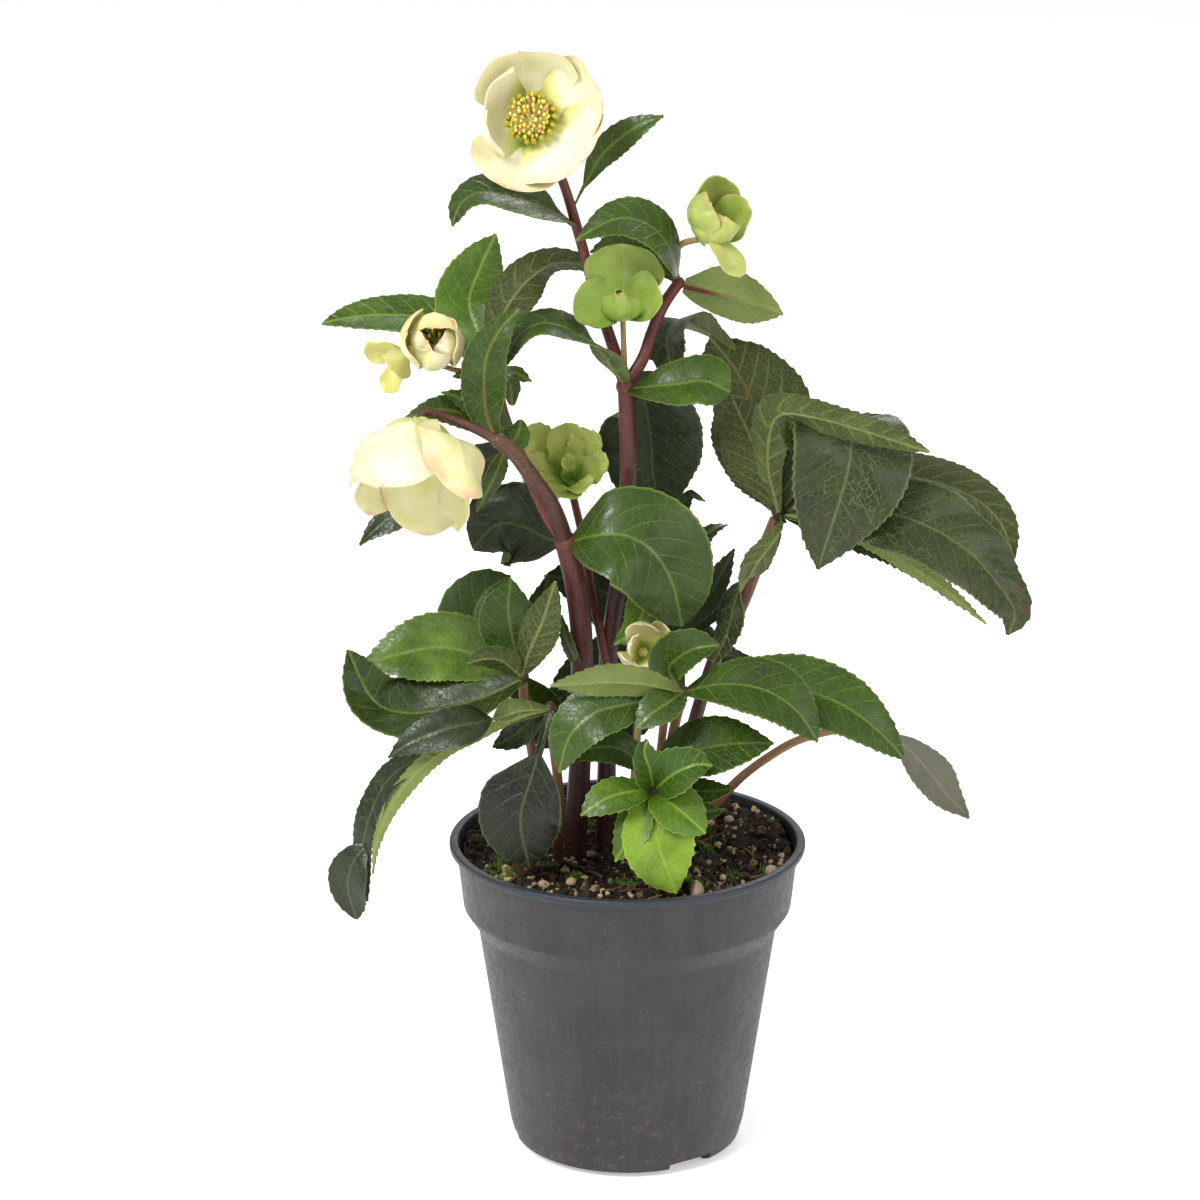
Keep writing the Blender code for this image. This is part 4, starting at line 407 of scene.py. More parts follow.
# Leaves of one stalk, that run together at its hub: (spine, width, face, more)
LEAVES = {
    "leaf_right": ("stalk_right", "leaf_dark", [
        ([(54, 237, -9), (50, 250, -7), (44, 264, -7), (37, 279, -11)], 32, (0.2, 0.8, 0.5),
         {"shape": "broad"}),
        ([(54, 237, -9), (50, 256, -16), (45, 276, -25), (37, 291, -31), (29, 301, -29)], 42,
         [(0.2, 0.9, 0.3), (0.2, 0.9, 0.3), (0.1, 0.8, 0.6)], {"shape": "broad"}),
        ([(38, 297, -30), (27, 304, -27), (18, 307.5, -22), (13.5, 300, -18), (16, 286, -14)], 23,
         [(0.1, 0.3, 0.9), (-0.5, 0.0, 0.8), (-0.5, -0.8, 0.2)], {"shape": "broad"}),
        ([(63, 255, 4), (58, 268, 6), (54.5, 281, 5)], 10, (0.1, -0.9, 0.3), {}),
        ([(54, 237, -9), (60, 252, -15), (70, 265, -12), (78, 267, -2), (79, 257, 7), (76, 243, 11),
          (72, 229, 12), (68, 215.5, 11)], 47, [(-0.5, 0.6, 0.5), (0, 0.3, 0.9), (0.4, -0.7, 0.6),
          (0.1, -1, 0.1), (0.1, -1, 0.1)], {}),
        ([(54, 237, -6), (50, 256, 0), (53, 272, 6), (66, 272, 11), (84, 267, 12), (107, 259, 9)], 17,
         [(0.6, 0.8, 0.2), (0.3, 0.85, 0.4), (0, 0.85, 0.5)], {"shape": "broad"}),
        ([(54, 237, -11), (70, 258, -22), (86, 267, -26), (102, 264, -28)], 17, (0, -0.7, 0.7), {}),
        ([(54, 237, -9), (80, 246, -16), (100, 250, -19), (119, 245, -19), (132, 235, -17),
          (139, 220, -15)], 28, (0.3, 0.7, 0.6), {"shape": "broad"}),
        ([(54, 237, -8), (72, 239, -3), (90, 237, 2), (106, 232, 5), (122, 222, 7), (134, 208, 8),
          (139, 199, 8), (137, 190.5, 8)], 34, (0.3, -0.7, 0.65),
         {"wave": 1.0, "waves": 4, "shape": "broad"}),
        ([(54, 236, -11), (75, 231, -13), (92, 223, -13), (102, 213, -13)], 13, (0, -0.8, 0.5), {}),
        ([(54, 236, -8), (72, 233, 2), (90, 224, 6), (110, 211, 9), (129, 195, 10)], 8, (-0.2, 0.85, 0.4),
         {}),
        ([(54, 237, -11), (47, 246, -14), (39, 254, -16), (31, 261, -17)], 12, (-0.3, -0.7, 0.5), {}),
        ([(54, 237, -7), (54, 230, 0), (46, 218, 4), (39, 205, 5), (36, 192, 5), (30, 178, 4)], 15,
         [(0, 0.6, 0.7), (0, 0.7, 0.6), (-0.6, -0.6, 0.5), (-0.5, -0.9, 0)], {}),
    ]),
    "leaf_low_right": ("stalk_front", "leaf_green", [
        ([(20, 169, 28), (34, 172, 35), (49, 170, 40), (61, 162, 43), (69, 150, 43)], 26,
         (0.15, -0.6, 0.8), {}),
        ([(20, 169, 26), (45, 171, 20), (62, 170, 22), (78, 164, 25), (91, 154, 27), (101, 143, 26)], 29,
         (0.2, -0.65, 0.75), {}),
        ([(20, 169, 29), (8, 172, 36), (-5, 173, 40), (-17, 172.5, 41), (-28, 171.5, 41)], 15,
         (0, 0.9, 0.35), {}),
        ([(20, 169, 30), (16, 166, 37), (9, 161, 41), (3, 155, 43)], 14, (-0.3, -0.8, 0.5), {}),
        ([(20, 169, 25), (15, 178, 24), (23, 185, 27), (33, 187, 28)], 19, (-0.1, -0.8, 0.6),
         {"fold": 26, "curl": 10}),
        ([(20, 169, 27), (9, 166, 31), (-2, 164, 36), (-12, 161, 39), (-21, 152, 41), (-25, 138, 40)], 21,
         (-0.3, -0.8, 0.5), {"stalk": 0.12}),
    ]),
    "leaf_grey": ("stalk_low_right", "leaf_dark", [
        ([(95, 153, -37), (103, 146, -37), (110, 138, -37), (117, 129, -36), (124.5, 120.5, -34)], 17,
         (0.4, -0.8, 0.5), {}),
    ]),
    "leaf_left": ("stalk_left", "leaf_green", [
        ([(-38, 175, 10), (-52, 182, 6), (-66, 186, 4), (-80, 184, 5), (-96, 179.5, 7)], 27,
         (-0.1, -0.8, 0.6), {}),
        ([(-38, 176, 8), (-48, 187, -3), (-55, 197, -8), (-51, 207, -11), (-42, 213, -13)], 28,
         (-0.2, -0.9, 0.3), {}),
        ([(-38, 176, 10), (-41, 187, 7), (-43, 200, 6), (-42, 212, 4)], 23, (-0.1, -0.95, 0.3), {}),
        ([(-38, 175, 11), (-35, 185, 14), (-30, 197, 14), (-26, 211, 12)], 15, (0.5, 0.8, 0.2), {}),
        ([(-38, 175, 11), (-45, 181, 15), (-51, 182, 17), (-58, 180, 17)], 13, (0, 0.8, 0.5), {}),
        ([(-38, 174, 12), (-50, 168, 14), (-65, 163, 15), (-80, 161, 15), (-92, 166, 14),
          (-101, 185, 12)], 28, (0, -0.6, 0.8), {"fold": 22, "curl": -8, "shape": "broad"}),
        ([(-38, 175, 8), (-34, 188, -6), (-31, 200, -12), (-29, 213, -13)], 15, (0.1, -0.95, 0.2), {}),
        ([(-38, 175, 8), (-35, 166, -4), (-30, 156, -12), (-24, 146, -15)], 19, (0, -0.95, 0.3), {}),
    ]),
    "leaf_low_left": ("stalk_low_left", "leaf_dark", [
        ([(-28, 163, 27), (-40, 162, 33), (-52, 158, 36), (-65, 155, 38), (-78, 150, 39), (-87, 144, 39)],
         17, [(0, 0.8, 0.5), (0, 0.8, 0.4), (0, -0.6, 0.8), (-0.1, -0.8, 0.5), (-0.2, -0.8, 0.5)], {}),
        ([(-28, 162, 26), (-45, 157, 27), (-62, 151, 30), (-76, 144, 31), (-88, 134, 32), (-95, 118, 33),
          (-97, 104, 32), (-95.5, 88, 31)], 13, [(0, -0.3, 1), (-0.5, -0.5, 0.7), (-0.6, -0.8, 0.1)],
         {"stalk": 0.2, "shape": "broad"}),
        ([(-95, 110, 33), (-100, 104, 34), (-102.5, 94, 33), (-99.5, 81, 31)], 18, (-0.6, -0.8, 0.1),
         {"shape": "broad"}),
        ([(-28, 162, 28), (-31, 150, 34), (-35, 136, 38), (-39, 120, 40), (-36, 101.5, 38)], 31,
         (-0.2, -0.95, 0.3), {"stalk": 0.28, "shape": "broad"}),
        ([(-28, 163, 26), (-35, 158, 24.6), (-42, 152, 23.5), (-49, 148, 22)], 12, (0, -0.7, 0.7), {}),
        ([(-28, 163, 27), (-40, 159.5, 31), (-55, 152.5, 32.5), (-70, 144.5, 36), (-83, 130, 37),
          (-91, 113, 38), (-93, 99, 37)], 7, [(0, 0.8, 0.5), (0.3, 0.9, 0.2), (0.7, 0.8, 0)], {}),
    ]),
    "leaf_back": ("stalk_back", "leaf_dark", [
        ([(17, 191, -21), (17, 215, -26), (18, 234, -28), (22, 243, -28), (27.5, 241, -27)], 10,
         (0.3, -0.8, 0.5), {}),
        ([(17, 191, -20), (20, 212, -22), (24, 224, -22), (30, 230, -21), (35.5, 232, -20)], 10,
         (0.1, -0.9, 0.4), {}),
        ([(17, 191, -19), (24, 198, -18), (31, 209, -17), (38, 223, -16)], 10, (-0.3, -0.9, 0.2), {}),
        ([(17, 191, -20), (25, 196, -21), (31, 202, -21), (34, 209, -21)], 9, (0.2, -0.9, 0.3), {}),
        ([(17, 191, -21), (25, 191, -23), (30, 188, -24), (34, 183, -24)], 9, (0.2, -0.9, 0.3), {}),
        ([(17, 191, -22), (27, 187, -25), (36, 183, -27), (45, 182, -28)], 9, (0, -0.8, 0.6), {}),
        ([(17, 191, -21), (7, 197, -27), (-5, 205, -30), (-18, 211, -31), (-30, 213, -30)], 25,
         (0, -0.9, 0.4), {}),
        ([(17, 191, -22), (7, 185, -29), (-5, 178, -32), (-18, 171, -33), (-30, 163, -32)], 27,
         (0, -0.9, 0.4), {}),
        ([(17, 191, -22), (10, 178, -31), (0, 164, -36), (-12, 153, -38), (-25, 145, -38)], 24,
         (0, -0.9, 0.4), {}),
    ]),
    "shoot_front": ("stalk_shoot", "leaf_young", [
        ([(9.5, 131, 34), (2, 131, 40), (-8, 128, 44), (-17, 121.5, 46)], 15, (-0.2, -0.7, 0.7), {}),
        ([(9.5, 131, 34), (5, 124, 41), (1, 114, 45), (-4.5, 103.5, 47)], 14, (-0.4, -0.8, 0.5), {}),
        ([(9.5, 131, 34), (9, 122, 42), (12, 108, 48), (18, 91, 50)], 26, (0.1, -0.9, 0.4), {}),
        ([(9.5, 131, 34), (15, 127, 42), (22, 121, 45), (28.5, 114.5, 46)], 19, (0.3, -0.8, 0.5), {}),
        ([(9.5, 131, 34), (8, 139, 40), (6, 146, 41), (7, 151, 39)], 15, (0.3, -0.9, 0.2), {"fold": 32}),
        ([(9.5, 131, 34), (16, 137, 42), (24, 141, 44), (31, 141, 43)], 18, (0.1, -0.8, 0.6),
         {"fold": 28}),
    ]),
    "leaf_low_front": ("stalk_low_front", "leaf_green", [
        ([(8, 137, 27), (20, 145, 32), (36, 149, 32), (53, 149.5, 31)], 24, (0.1, -0.65, 0.75), {}),
        ([(8, 137, 26), (20, 132, 26), (30, 131, 29), (39, 132, 31)], 11, (0.1, -0.7, 0.7), {}),
        ([(8, 137, 26), (16, 130, 25), (26, 123, 22), (36, 124, 21)], 10, (0, -0.7, 0.7), {}),
        ([(8, 137, 27), (1, 145, 28), (-6, 148, 30), (-15, 147, 32), (-23, 144, 33)], 14,
         (-0.1, -0.7, 0.7), {}),
    ]),
}

# Bracts that stand on a flowering stem: (spine from the stem's middle, width, face, clearance, slot, more)
BRACTS = {
    "bract_top_left": ([(-18.5, 341, -12), (-26, 346, -5), (-38, 350.5, -1), (-50, 353, 1),
                        (-58, 349.5, 3), (-62, 341, 4)], 22, (-0.1, -0.42, 0.9), 3.4, "leaf_green",
                       {"fold": 18}),
    "bract_top_right": ([(-20, 346, -12), (-15.5, 355, -14), (-9, 366.5, -15), (1, 375, -14),
                         (12, 380, -13)], 11, (0.35, -0.7, 0.6), 3.9, "leaf_green",
                        {"shape": "leaflet", "stalk": 0.15}),
    "bract_arched": ([(17.5, 321, -12), (16, 329, -3), (11, 338, 3), (3, 343, 7), (-6, 343, 9),
                      (-18.5, 336, 11)], 20, [(0.7, -0.6, 0.3), (0.2, -0.6, 0.75), (-0.2, -0.6, 0.75)],
                     3.6, "leaf_green", {"shape": "leaflet"}),
    "bract_behind": ([(17.5, 320, -12), (10, 327, -16), (-2, 334, -15), (-13.5, 332, -13)], 13,
                     (0, -0.7, 0.7), 3.6, "leaf_green", {"shape": "leaflet"}),
    "bract_light": ([(17.5, 320, -12), (26, 318, -11), (38, 315, -6), (48, 312, -2), (54.5, 309.5, 1)],
                    24, (0.05, 0.85, 0.4), 3.4, "leaf_green", {}),
    "bract_middle_left": ([(-1, 284, -6), (-5, 290, 3), (-10, 297, 8), (-19, 303, 9), (-30, 306, 8),
                           (-39, 301, 7), (-46, 288, 6)], 20, [(0.6, 0.7, 0.3), (0, -0.2, 1),
                           (-0.3, -0.6, 0.8)], 4.8, "leaf_green", {}),
    "bract_middle_right": ([(-1, 282, -6), (8, 283, 2), (18, 284, 5), (27, 285, 7), (36, 281, 7)], 21,
                           (0.1, -0.7, 0.7), 4.6, "leaf_green", {"shape": "fan"}),
    "bract_back": ([(-1, 282, -6), (5, 279, -17), (8, 264, -23), (9, 250, -24), (12, 235, -24)], 38,
                   (0, -0.9, 0.3), 4.3, "leaf_dark", {"shape": "broad"}),
    "bract_upright": ([(-46, 263, 18), (-50, 272, 14), (-51, 283, 13), (-50, 294, 13), (-45, 304, 13),
                       (-38.5, 311, 12)], 17, (-0.2, -0.95, 0.1), 3.6, "leaf_green", {"fold": 20}),
    "bract_bright": ([(-48, 293, -9), (-53, 303, -15), (-56, 314, -20), (-52, 326, -20),
                      (-46.5, 338, -19)], 25, (-0.1, -0.95, 0.3), 3.4, "leaf_young", {}),
    "bract_underside": ([(-48, 293, -9), (-44, 309, -9), (-36, 321, -11), (-26, 328, -16),
                         (-15, 327, -20), (-9.5, 321, -20)], 17, (0.3, 0.8, 0.5), 3.4, "leaf_green", {}),
    "bract_left": ([(-48, 293, -9), (-55, 298, -20), (-68, 307, -25), (-85, 309, -21), (-98, 308, -15),
                    (-108, 306, -11)], 19, (-0.1, -0.6, 0.8), 3.4, "leaf_young", {"shape": "broad"}),
    "bract_behind_bloom": ([(-40, 261, -5), (-52, 255, -14), (-70, 245, -14), (-87, 233, -12),
                            (-96, 224.5, -10)], 18, (-0.3, -0.8, 0.5), 2.5, "leaf_dark", {}),
    "bract_crinkled": ([(-22, 225, 5), (-29, 227, -1), (-38, 231.5, -7), (-47, 232, -9),
                        (-55.5, 223, -8)], 31, (-0.3, -0.85, 0.4), 5.6, "leaf_dark",
                       {"shape": "broad", "wave": 1.6, "waves": 4}),
    "bract_front": ([(-22, 225, 5), (-12, 228, 15), (-1, 228, 18), (9, 222, 19), (16, 210, 17),
                     (19.5, 194, 13)], 41, (0.15, -0.8, 0.6), 4.7, "leaf_green", {"shape": "broad"}),
    "bract_low": ([(-3, 214, -6), (5, 213, -1), (7, 205, 0), (3, 194, 2), (-5, 187, 4)], 14,
                  (0, -0.9, 0.3), 4.4, "leaf_young", {}),
}

# Blooms: (receptacle, axis, hub, slot, petals from the back layer forward), each petal as
# (turn, length, width, openings from foot to tip)
BLOOMS = {
    "bloom_top": (TOP_BLOOM, TOP_AXIS, KNOB_LARGE, "petal_cream", [
        (101, 30.5, 42, [90, 88, 63, 28, -1]), (254, 33.5, 37, [89, 85, 66, 37, 9]),
        (175, 31.5, 41, [92, 88, 52, 4, -40]), (18, 37, 38, [92, 88, 64, 30, 7]),
        (-41, 37.5, 42, [89, 85, 66, 31, 13])]),
    "bloom_left": (LEFT_BLOOM, LEFT_AXIS, KNOB_LARGE, "petal_cream", [
        (268, 45, 38, [76, 48, 22, 6, -4]), (205, 43, 30, [84, 54, 28, 12, 0]),
        (318, 45, 30, [80, 52, 26, 8, -6]), (150, 41, 36, [106, 68, 38, 14, 0]),
        (95, 46, 42, [118, 70, 38, 22, 10]), (26, 48, 36, [116, 76, 46, 18, 0])]),
    "bloom_cup": (CUP_BLOOM, CUP_AXIS, KNOB_SMALL, "petal_cream", [
        (176, 27, 28, [90, 56, 20, -8, -34]), (4, 25, 22, [90, 58, 24, -4, -28]),
        (258, 27, 26, [90, 56, 18, -20, -52]), (92, 31, 34, [90, 54, 10, -36, -80]),
        (212, 31, 34, [90, 54, 10, -36, -80]), (330, 31, 34, [90, 54, 10, -36, -80])]),
    "bloom_pale": (PALE_BLOOM, PALE_AXIS, KNOB_SMALL, "petal_green", [
        (30, 17, 14, [60, 40, 20, 10]), (150, 16, 14, [75, 60, 45, 30]), (260, 17, 14, [60, 40, 20, 10])]),
    "bloom_bud": (BUD_BLOOM, BUD_AXIS, KNOB_SMALL, "petal_green", [
        (55, 26, 24, [80, 58, 24, -2, -20]), (345, 24, 22, [78, 56, 26, 4, -10]),
        (215, 24, 24, [84, 66, 24, -10, -35]), (150, 28, 30, [92, 70, 26, -14, -50]),
        (250, 23, 14, [60, 80, 98, 104])]),
    "bloom_green": (GREEN_BLOOM, GREEN_AXIS, KNOB_SMALL, "petal_green", [
        (92, 25, 29, [77, 72, 52, 39]), (170, 19, 21, [85, 72, 60, 45]), (26, 20, 21, [82, 67, 50, 32]),
        (88, 16, 15, [55, 30, 1, -17]), (272, 26, 36, [88, 53, 3, -28, -46])]),
    "bloom_cluster": (CLUSTER_BLOOM, CLUSTER_AXIS, KNOB_SMALL, "petal_green", [
        (140, 28, 18, [78, 60, 40, 18]), (101, 26, 17, [66, 48, 28, 8]), (60, 26, 18, [70, 52, 28, 4]),
        (176, 24, 18, [82, 68, 52, 34]), (22, 24, 19, [76, 58, 34, 10]), (118, 18, 13, [56, 40, 22, 4]),
        (212, 21, 16, [86, 70, 54, 38]), (250, 20, 20, [82, 64, 46, 34]), (300, 19, 18, [80, 62, 46, 36])]),
    "bloom_low": (LOW_BLOOM, LOW_AXIS, KNOB_SMALL, "petal_cream", [
        (20, 19, 18, [88, 72, 38, 2, -30]), (235, 18, 16, [88, 70, 38, 6, -22]),
        (95, 19, 18, [84, 70, 36, 0, -30]), (305, 18, 16, [82, 66, 36, 6, -20]),
        (165, 18, 17, [78, 62, 32, 0, -26])]),
}

# Flower centres: (receptacle, axis, hub, height, radius of the ring, nectaries, stamens, styles)
BLOOM_CENTRES = {
    "bloom_top_centre": (TOP_BLOOM, TOP_AXIS, KNOB_LARGE, 7.0, 7.6, 18, 60, 5),
    "bloom_cup_centre": (CUP_BLOOM, CUP_AXIS, KNOB_SMALL, 8.0, 3.6, 5, 26, 3),
}

# How the plant's parts differ in looks: tone from dark to light, brown at the tips, red along the foot
LEAF_UPPER = {
    "leaf_grey": "leaf_grey", "leaf_low_left": "leaf_plain", "leaf_back": "leaf_plain",
    "bract_back": "leaf_plain", "bract_behind_bloom": "leaf_plain", "bract_crinkled": "leaf_plain",
}

LEAF_LOOK = {
    "leaf_right": {"tone": 0.35, "brown": 0.35, "quilt": 0.30, "rough": 1.1, "teeth": 0.8},
    ("leaf_right", 0): {"tone": -0.3},
    ("leaf_right", 1): {"tone": -0.6, "red": 0.7},
    ("leaf_right", 4): {"quilt": 0.40, "rough": 1.3},
    ("leaf_right", 5): {"tone": 0.1},
    ("leaf_right", 7): {"tone": -0.2},
    ("leaf_right", 8): {"quilt": 0.50, "rough": 1.5, "brown": 0.5},
    ("leaf_right", 6): {"red": 0.5},
    ("leaf_right", 10): {"tone": 0.9},
    "leaf_low_right": {"tone": 0.42, "teeth": 0.75},
    ("leaf_low_right", 2): {"tone": 0.75},
    "leaf_grey": {"tone": 0.6},
    "leaf_left": {"tone": 0.40},
    ("leaf_left", 0): {"tone": 0.75, "teeth": 0.9},
    ("leaf_left", 3): {"tone": -0.2},
    ("leaf_left", 4): {"tone": 0.0},
    ("leaf_left", 5): {"tone": 0.15},
    "leaf_low_left": {"tone": 0.35, "brown": 0.15},
    ("leaf_low_left", 3): {"tone": -1.0, "brown": 0.3, "rough": 1.3},
    ("leaf_low_left", 5): {"tone": 1.0},
    "leaf_back": {"tone": 0.30},
    "shoot_front": {"tone": 0.20, "teeth": 0.8, "tooth_length": 3.4},
    ("shoot_front", 2): {"tone": 0.75},
    ("shoot_front", 4): {"tone": -0.4},
    ("shoot_front", 5): {"tone": -0.3},
    "leaf_low_front": {"tone": 0.42},
    "bract_top_left": {"tone": 0.35, "red": 0.9},
    "bract_top_right": {"tone": 0.35},
    "bract_arched": {"tone": 0.40},
    "bract_light": {"tone": 1.1, "red": [0.9, 0.3, 0, 0]},
    "bract_middle_left": {"tone": 0.25},
    "bract_middle_right": {"tone": 0.45},
    "bract_back": {"tone": 0.35},
    "bract_upright": {"tone": 0.35, "red": 0.6},
    "bract_bright": {"tone": 0.15},
    "bract_underside": {"tone": -0.1, "red": 0.1},
    "bract_left": {"tone": 0.10},
    "bract_behind_bloom": {"tone": 0.30},
    "bract_crinkled": {"tone": 0.25, "quilt": 0.3, "rough": 1.4, "brown": 0.1},
    "bract_front": {"tone": 0.30, "quilt": 0.2, "rough": 0.9},
    "bract_low": {"tone": 0.35},
}

PETAL_LOOK = {
    "bloom_top": {"tone": 0.12, "red": [0.0, 0.1, 0.4, 0.8]},
    "bloom_left": {"tone": 0.22, "red": [0.1, 0.3, 0.5, 0.7]},
    "bloom_cup": {"tone": 0.25, "red": [0.0, 0.1, 0.3, 0.5]},
    "bloom_pale": {"tone": 0.45, "red": [0.0, 0.1, 0.2, 0.2]},
    "bloom_bud": {"tone": 0.72, "red": [0.0, 0.0, 0.2, 0.5]},
    "bloom_green": {"tone": 0.90, "red": [0.0, 0.0, 0.1, 0.3]},
    "bloom_cluster": {"tone": 0.70, "red": 0.0, "teeth": 1.1, "wave": 0.9},
    "bloom_low": {"tone": 0.20, "red": [0.0, 0.1, 0.2, 0.3]},
}

STALK_TONE = {
    "stalk_right": (-0.6, -0.1, 0.15, 0.35), "stalk_low_right": (0.4, 0.6),
    "stalk_front": (-0.4, 0.3, 0.55),
    "stalk_left": (-0.4, 0.3, 0.6), "stalk_low_left": (-0.4, 0.3, 0.6), "stalk_back": (-0.3, 0.3, 0.5),
    "stalk_shoot": (0.7, 0.9), "stalk_low_front": (0.4, 0.6), "stalk_bud": (0.7, 0.9),
}


class Value:
    """A socket of a material's nodes, that can be added to, taken from and multiplied."""

    def __init__(self, looks, socket):
        self.looks = looks
        self.socket = socket

    def __add__(self, other):
        return self.looks.math("ADD", self, other)

    def __sub__(self, other):
        return self.looks.math("SUBTRACT", self, other)

    def __mul__(self, other):
        return self.looks.math("MULTIPLY", self, other)

    def __abs__(self):
        return self.looks.math("ABSOLUTE", self)


class Looks:
    """A material built node by node. A number or colour goes on the socket, and a value is linked."""

    def __init__(self, name, roughness=0.5, **shader):
        self.material = bpy.data.materials.new(name)
        self.material.use_nodes = True
        self.tree = self.material.node_tree
        self.shader = self.tree.nodes["Principled BSDF"]
        self.set("Roughness", roughness)
        self.set("Metallic", 0.0)
        for label, value in shader.items():
            self.set(label.replace("_", " "), value)
        place = self.add("TexCoord", {}, "Object")
        self.place = self.add("VectorMath", {0: place, 1: (1 / MM, 1 / MM, 1 / MM)}, operation="MULTIPLY")
        self.blade = self.split(self.add("Attribute", {}, "Vector", attribute_name="blade"))
        self.shade = self.split(self.add("Attribute", {}, "Vector", attribute_name="shade"))
        self.red = self.add("Attribute", {}, "Fac", attribute_name="red")

    def put(self, socket, value):
        if isinstance(value, Value):
            self.tree.links.new(value.socket, socket)
        elif socket.type == "RGBA":
            socket.default_value = (*value, 1.0)
        else:
            socket.default_value = value

    def set(self, label, value):
        self.put(self.shader.inputs[label], value)

    def node(self, kind, inputs, **settings):
        """The outputs of a new node."""
        node = self.tree.nodes.new("ShaderNode" + kind)
        for label, value in settings.items():
            setattr(node, label, value)
        for label, value in inputs.items():
            self.put(node.inputs[label], value)
        return node.outputs

    def add(self, kind, inputs, output=0, **settings):
        return Value(self, self.node(kind, inputs, **settings)[output])

    def split(self, vector):
        return [Value(self, socket) for socket in self.node("SeparateXYZ", {0: vector})]

    def math(self, operation, a, b=0.0):
        return self.add("Math", {0: a, 1: b, 2: 0.0}, operation=operation)

    def blend(self, share, a, b):
        """A colour between two, each one painted before or given in 0 to 255."""
        a, b = (srgb(*colour) if isinstance(colour, tuple) else colour for colour in (a, b))
        return self.add("Mix", {0: share, 6: a, 7: b}, 2, data_type="RGBA")

    def ramp(self, value, low, high, start=0.0, end=1.0):
        return self.add("MapRange", {0: value, 1: low, 2: high, 3: start, 4: end},
                        interpolation_type="SMOOTHSTEP")

    def noise(self, scale, detail=3.0, roughness=0.6, vector=None):
        return self.add("TexNoise", {"Vector": vector or self.place, "Scale": scale, "Detail": detail,
                                     "Roughness": roughness}, "Fac")

    def cells(self, scale, feature="F1", vector=None):
        return self.add("TexVoronoi", {"Vector": vector or self.place, "Scale": scale}, feature=feature)

    def vector(self, x, y, z):
        return self.add("CombineXYZ", {0: x, 1: y, 2: z})

    def bump(self, height, strength, distance, under=None):
        inputs = {"Height": height, "Strength": strength, "Distance": distance}
        if under:
            inputs["Normal"] = under
        return self.add("Bump", inputs)

    def fade(self, tone, dark, base, light, first, second):
        """Starts the colour: dark to base over the tone's first range, and on to light over its second."""
        self.colour = self.blend(self.ramp(tone, *first), dark, base)
        self.paint(self.ramp(tone, *second), light)

    def paint(self, share, colour):
        self.colour = self.blend(share, self.colour, colour)

    def finish(self, height, strength, distance, under=None):
        """The material, with what was painted as its colour and the height as its relief."""
        self.set("Base Color", self.colour)
        self.set("Normal", self.bump(height, strength, distance, under))
        return self.material


def srgb(red, green, blue):
    return tuple(((v / 255 + 0.055) / 1.055) ** 2.4 if v > 10 else v / 255 / 12.92 for v in (red, green,
                                                                                             blue))


def vein_lines(looks, width):
    """Lines along the side veins and the midrib, fading to the margin."""
    flow = looks.math("FRACT", looks.blade[1] + 20.5)
    side = looks.ramp(abs(flow - 0.5), width * 0.2, width, 1.0, 0.0)
    side = side * looks.ramp(looks.shade[1], 0.55, 1.0, 1.0, 0.1)
    middle = looks.ramp(abs(looks.blade[0]), 0.25, 0.75, 1.0, 0.0)
    return side, middle


def leaf(name, deep, base, light, vein, roughness, net_share):
    """The glossy upper side of a leaf: patchy green, pale veins, a thin pale margin and browned tips."""
    looks = Looks(name, Specular_IOR_Level=0.35)
    side, middle = vein_lines(looks, 0.06)
    tone = looks.shade[0] * 0.8 + (looks.noise(0.075, 4.0) - 0.5) * 0.9
    looks.fade(tone, deep, base, light, (-0.1, 0.45), (0.40, 1.0))
    wander = looks.vector(looks.noise(0.9), looks.noise(0.7), looks.noise(0.8))
    wander = looks.add("VectorMath", {0: looks.place, 1: wander}, operation="ADD")
    lines = looks.ramp(looks.cells(0.42, "DISTANCE_TO_EDGE", wander), 0.01, 0.07, 1.0, 0.0)
    broken = looks.ramp(looks.noise(0.16), 0.35, 0.65, 0.25, 1.0)
    looks.paint(lines * (broken * net_share), vein)
    looks.paint(side * 0.22, vein)
    looks.paint(middle * 0.34, vein)
    looks.paint(middle * looks.red, (120, 50, 45))
    looks.paint(looks.ramp(looks.shade[1], 0.93, 1.0) * 0.45, vein)
    burn = looks.shade[2] * looks.ramp(looks.noise(0.22, 5.0, 0.7), 0.42, 0.68, 0.0, 1.6)
    looks.paint(looks.ramp(burn, 0.15, 0.75), (75, 52, 34))
    looks.set("Roughness", looks.ramp(looks.noise(0.35, 4.0), 0.3, 0.7, roughness - 0.08, roughness + 0.12))
    fine = looks.bump(looks.noise(3.2, 3.0), 0.10, 0.0003)
    return looks.finish(lines * -0.5 + side * -1.0, 0.45, 0.0005, fine)


def underside(name):
    """The dull under side of a leaf, with raised side veins and a red midrib."""
    looks = Looks(name, 0.62, Specular_IOR_Level=0.35)
    side, middle = vein_lines(looks, 0.12)
    tone = looks.shade[0] * 0.5 + looks.noise(0.1) * 0.6
    looks.colour = looks.blend(looks.ramp(tone, 0.2, 0.9), (58, 68, 28), (114, 128, 64))
    net = looks.ramp(looks.cells(0.6, "DISTANCE_TO_EDGE"), 0.02, 0.16, 1.0, 0.0)
    looks.paint(net * 0.25, (124, 136, 74))
    looks.paint(side * 0.4, (124, 136, 72))
    looks.paint(middle * 0.6, (134, 144, 80))
    wide = looks.ramp(abs(looks.blade[0]), 0.5, 1.3, 1.0, 0.0)
    looks.paint(wide * looks.ramp(looks.red, 0.0, 0.5), (92, 36, 32))
    return looks.finish(net * 0.5 + side, 0.5, 0.0005)


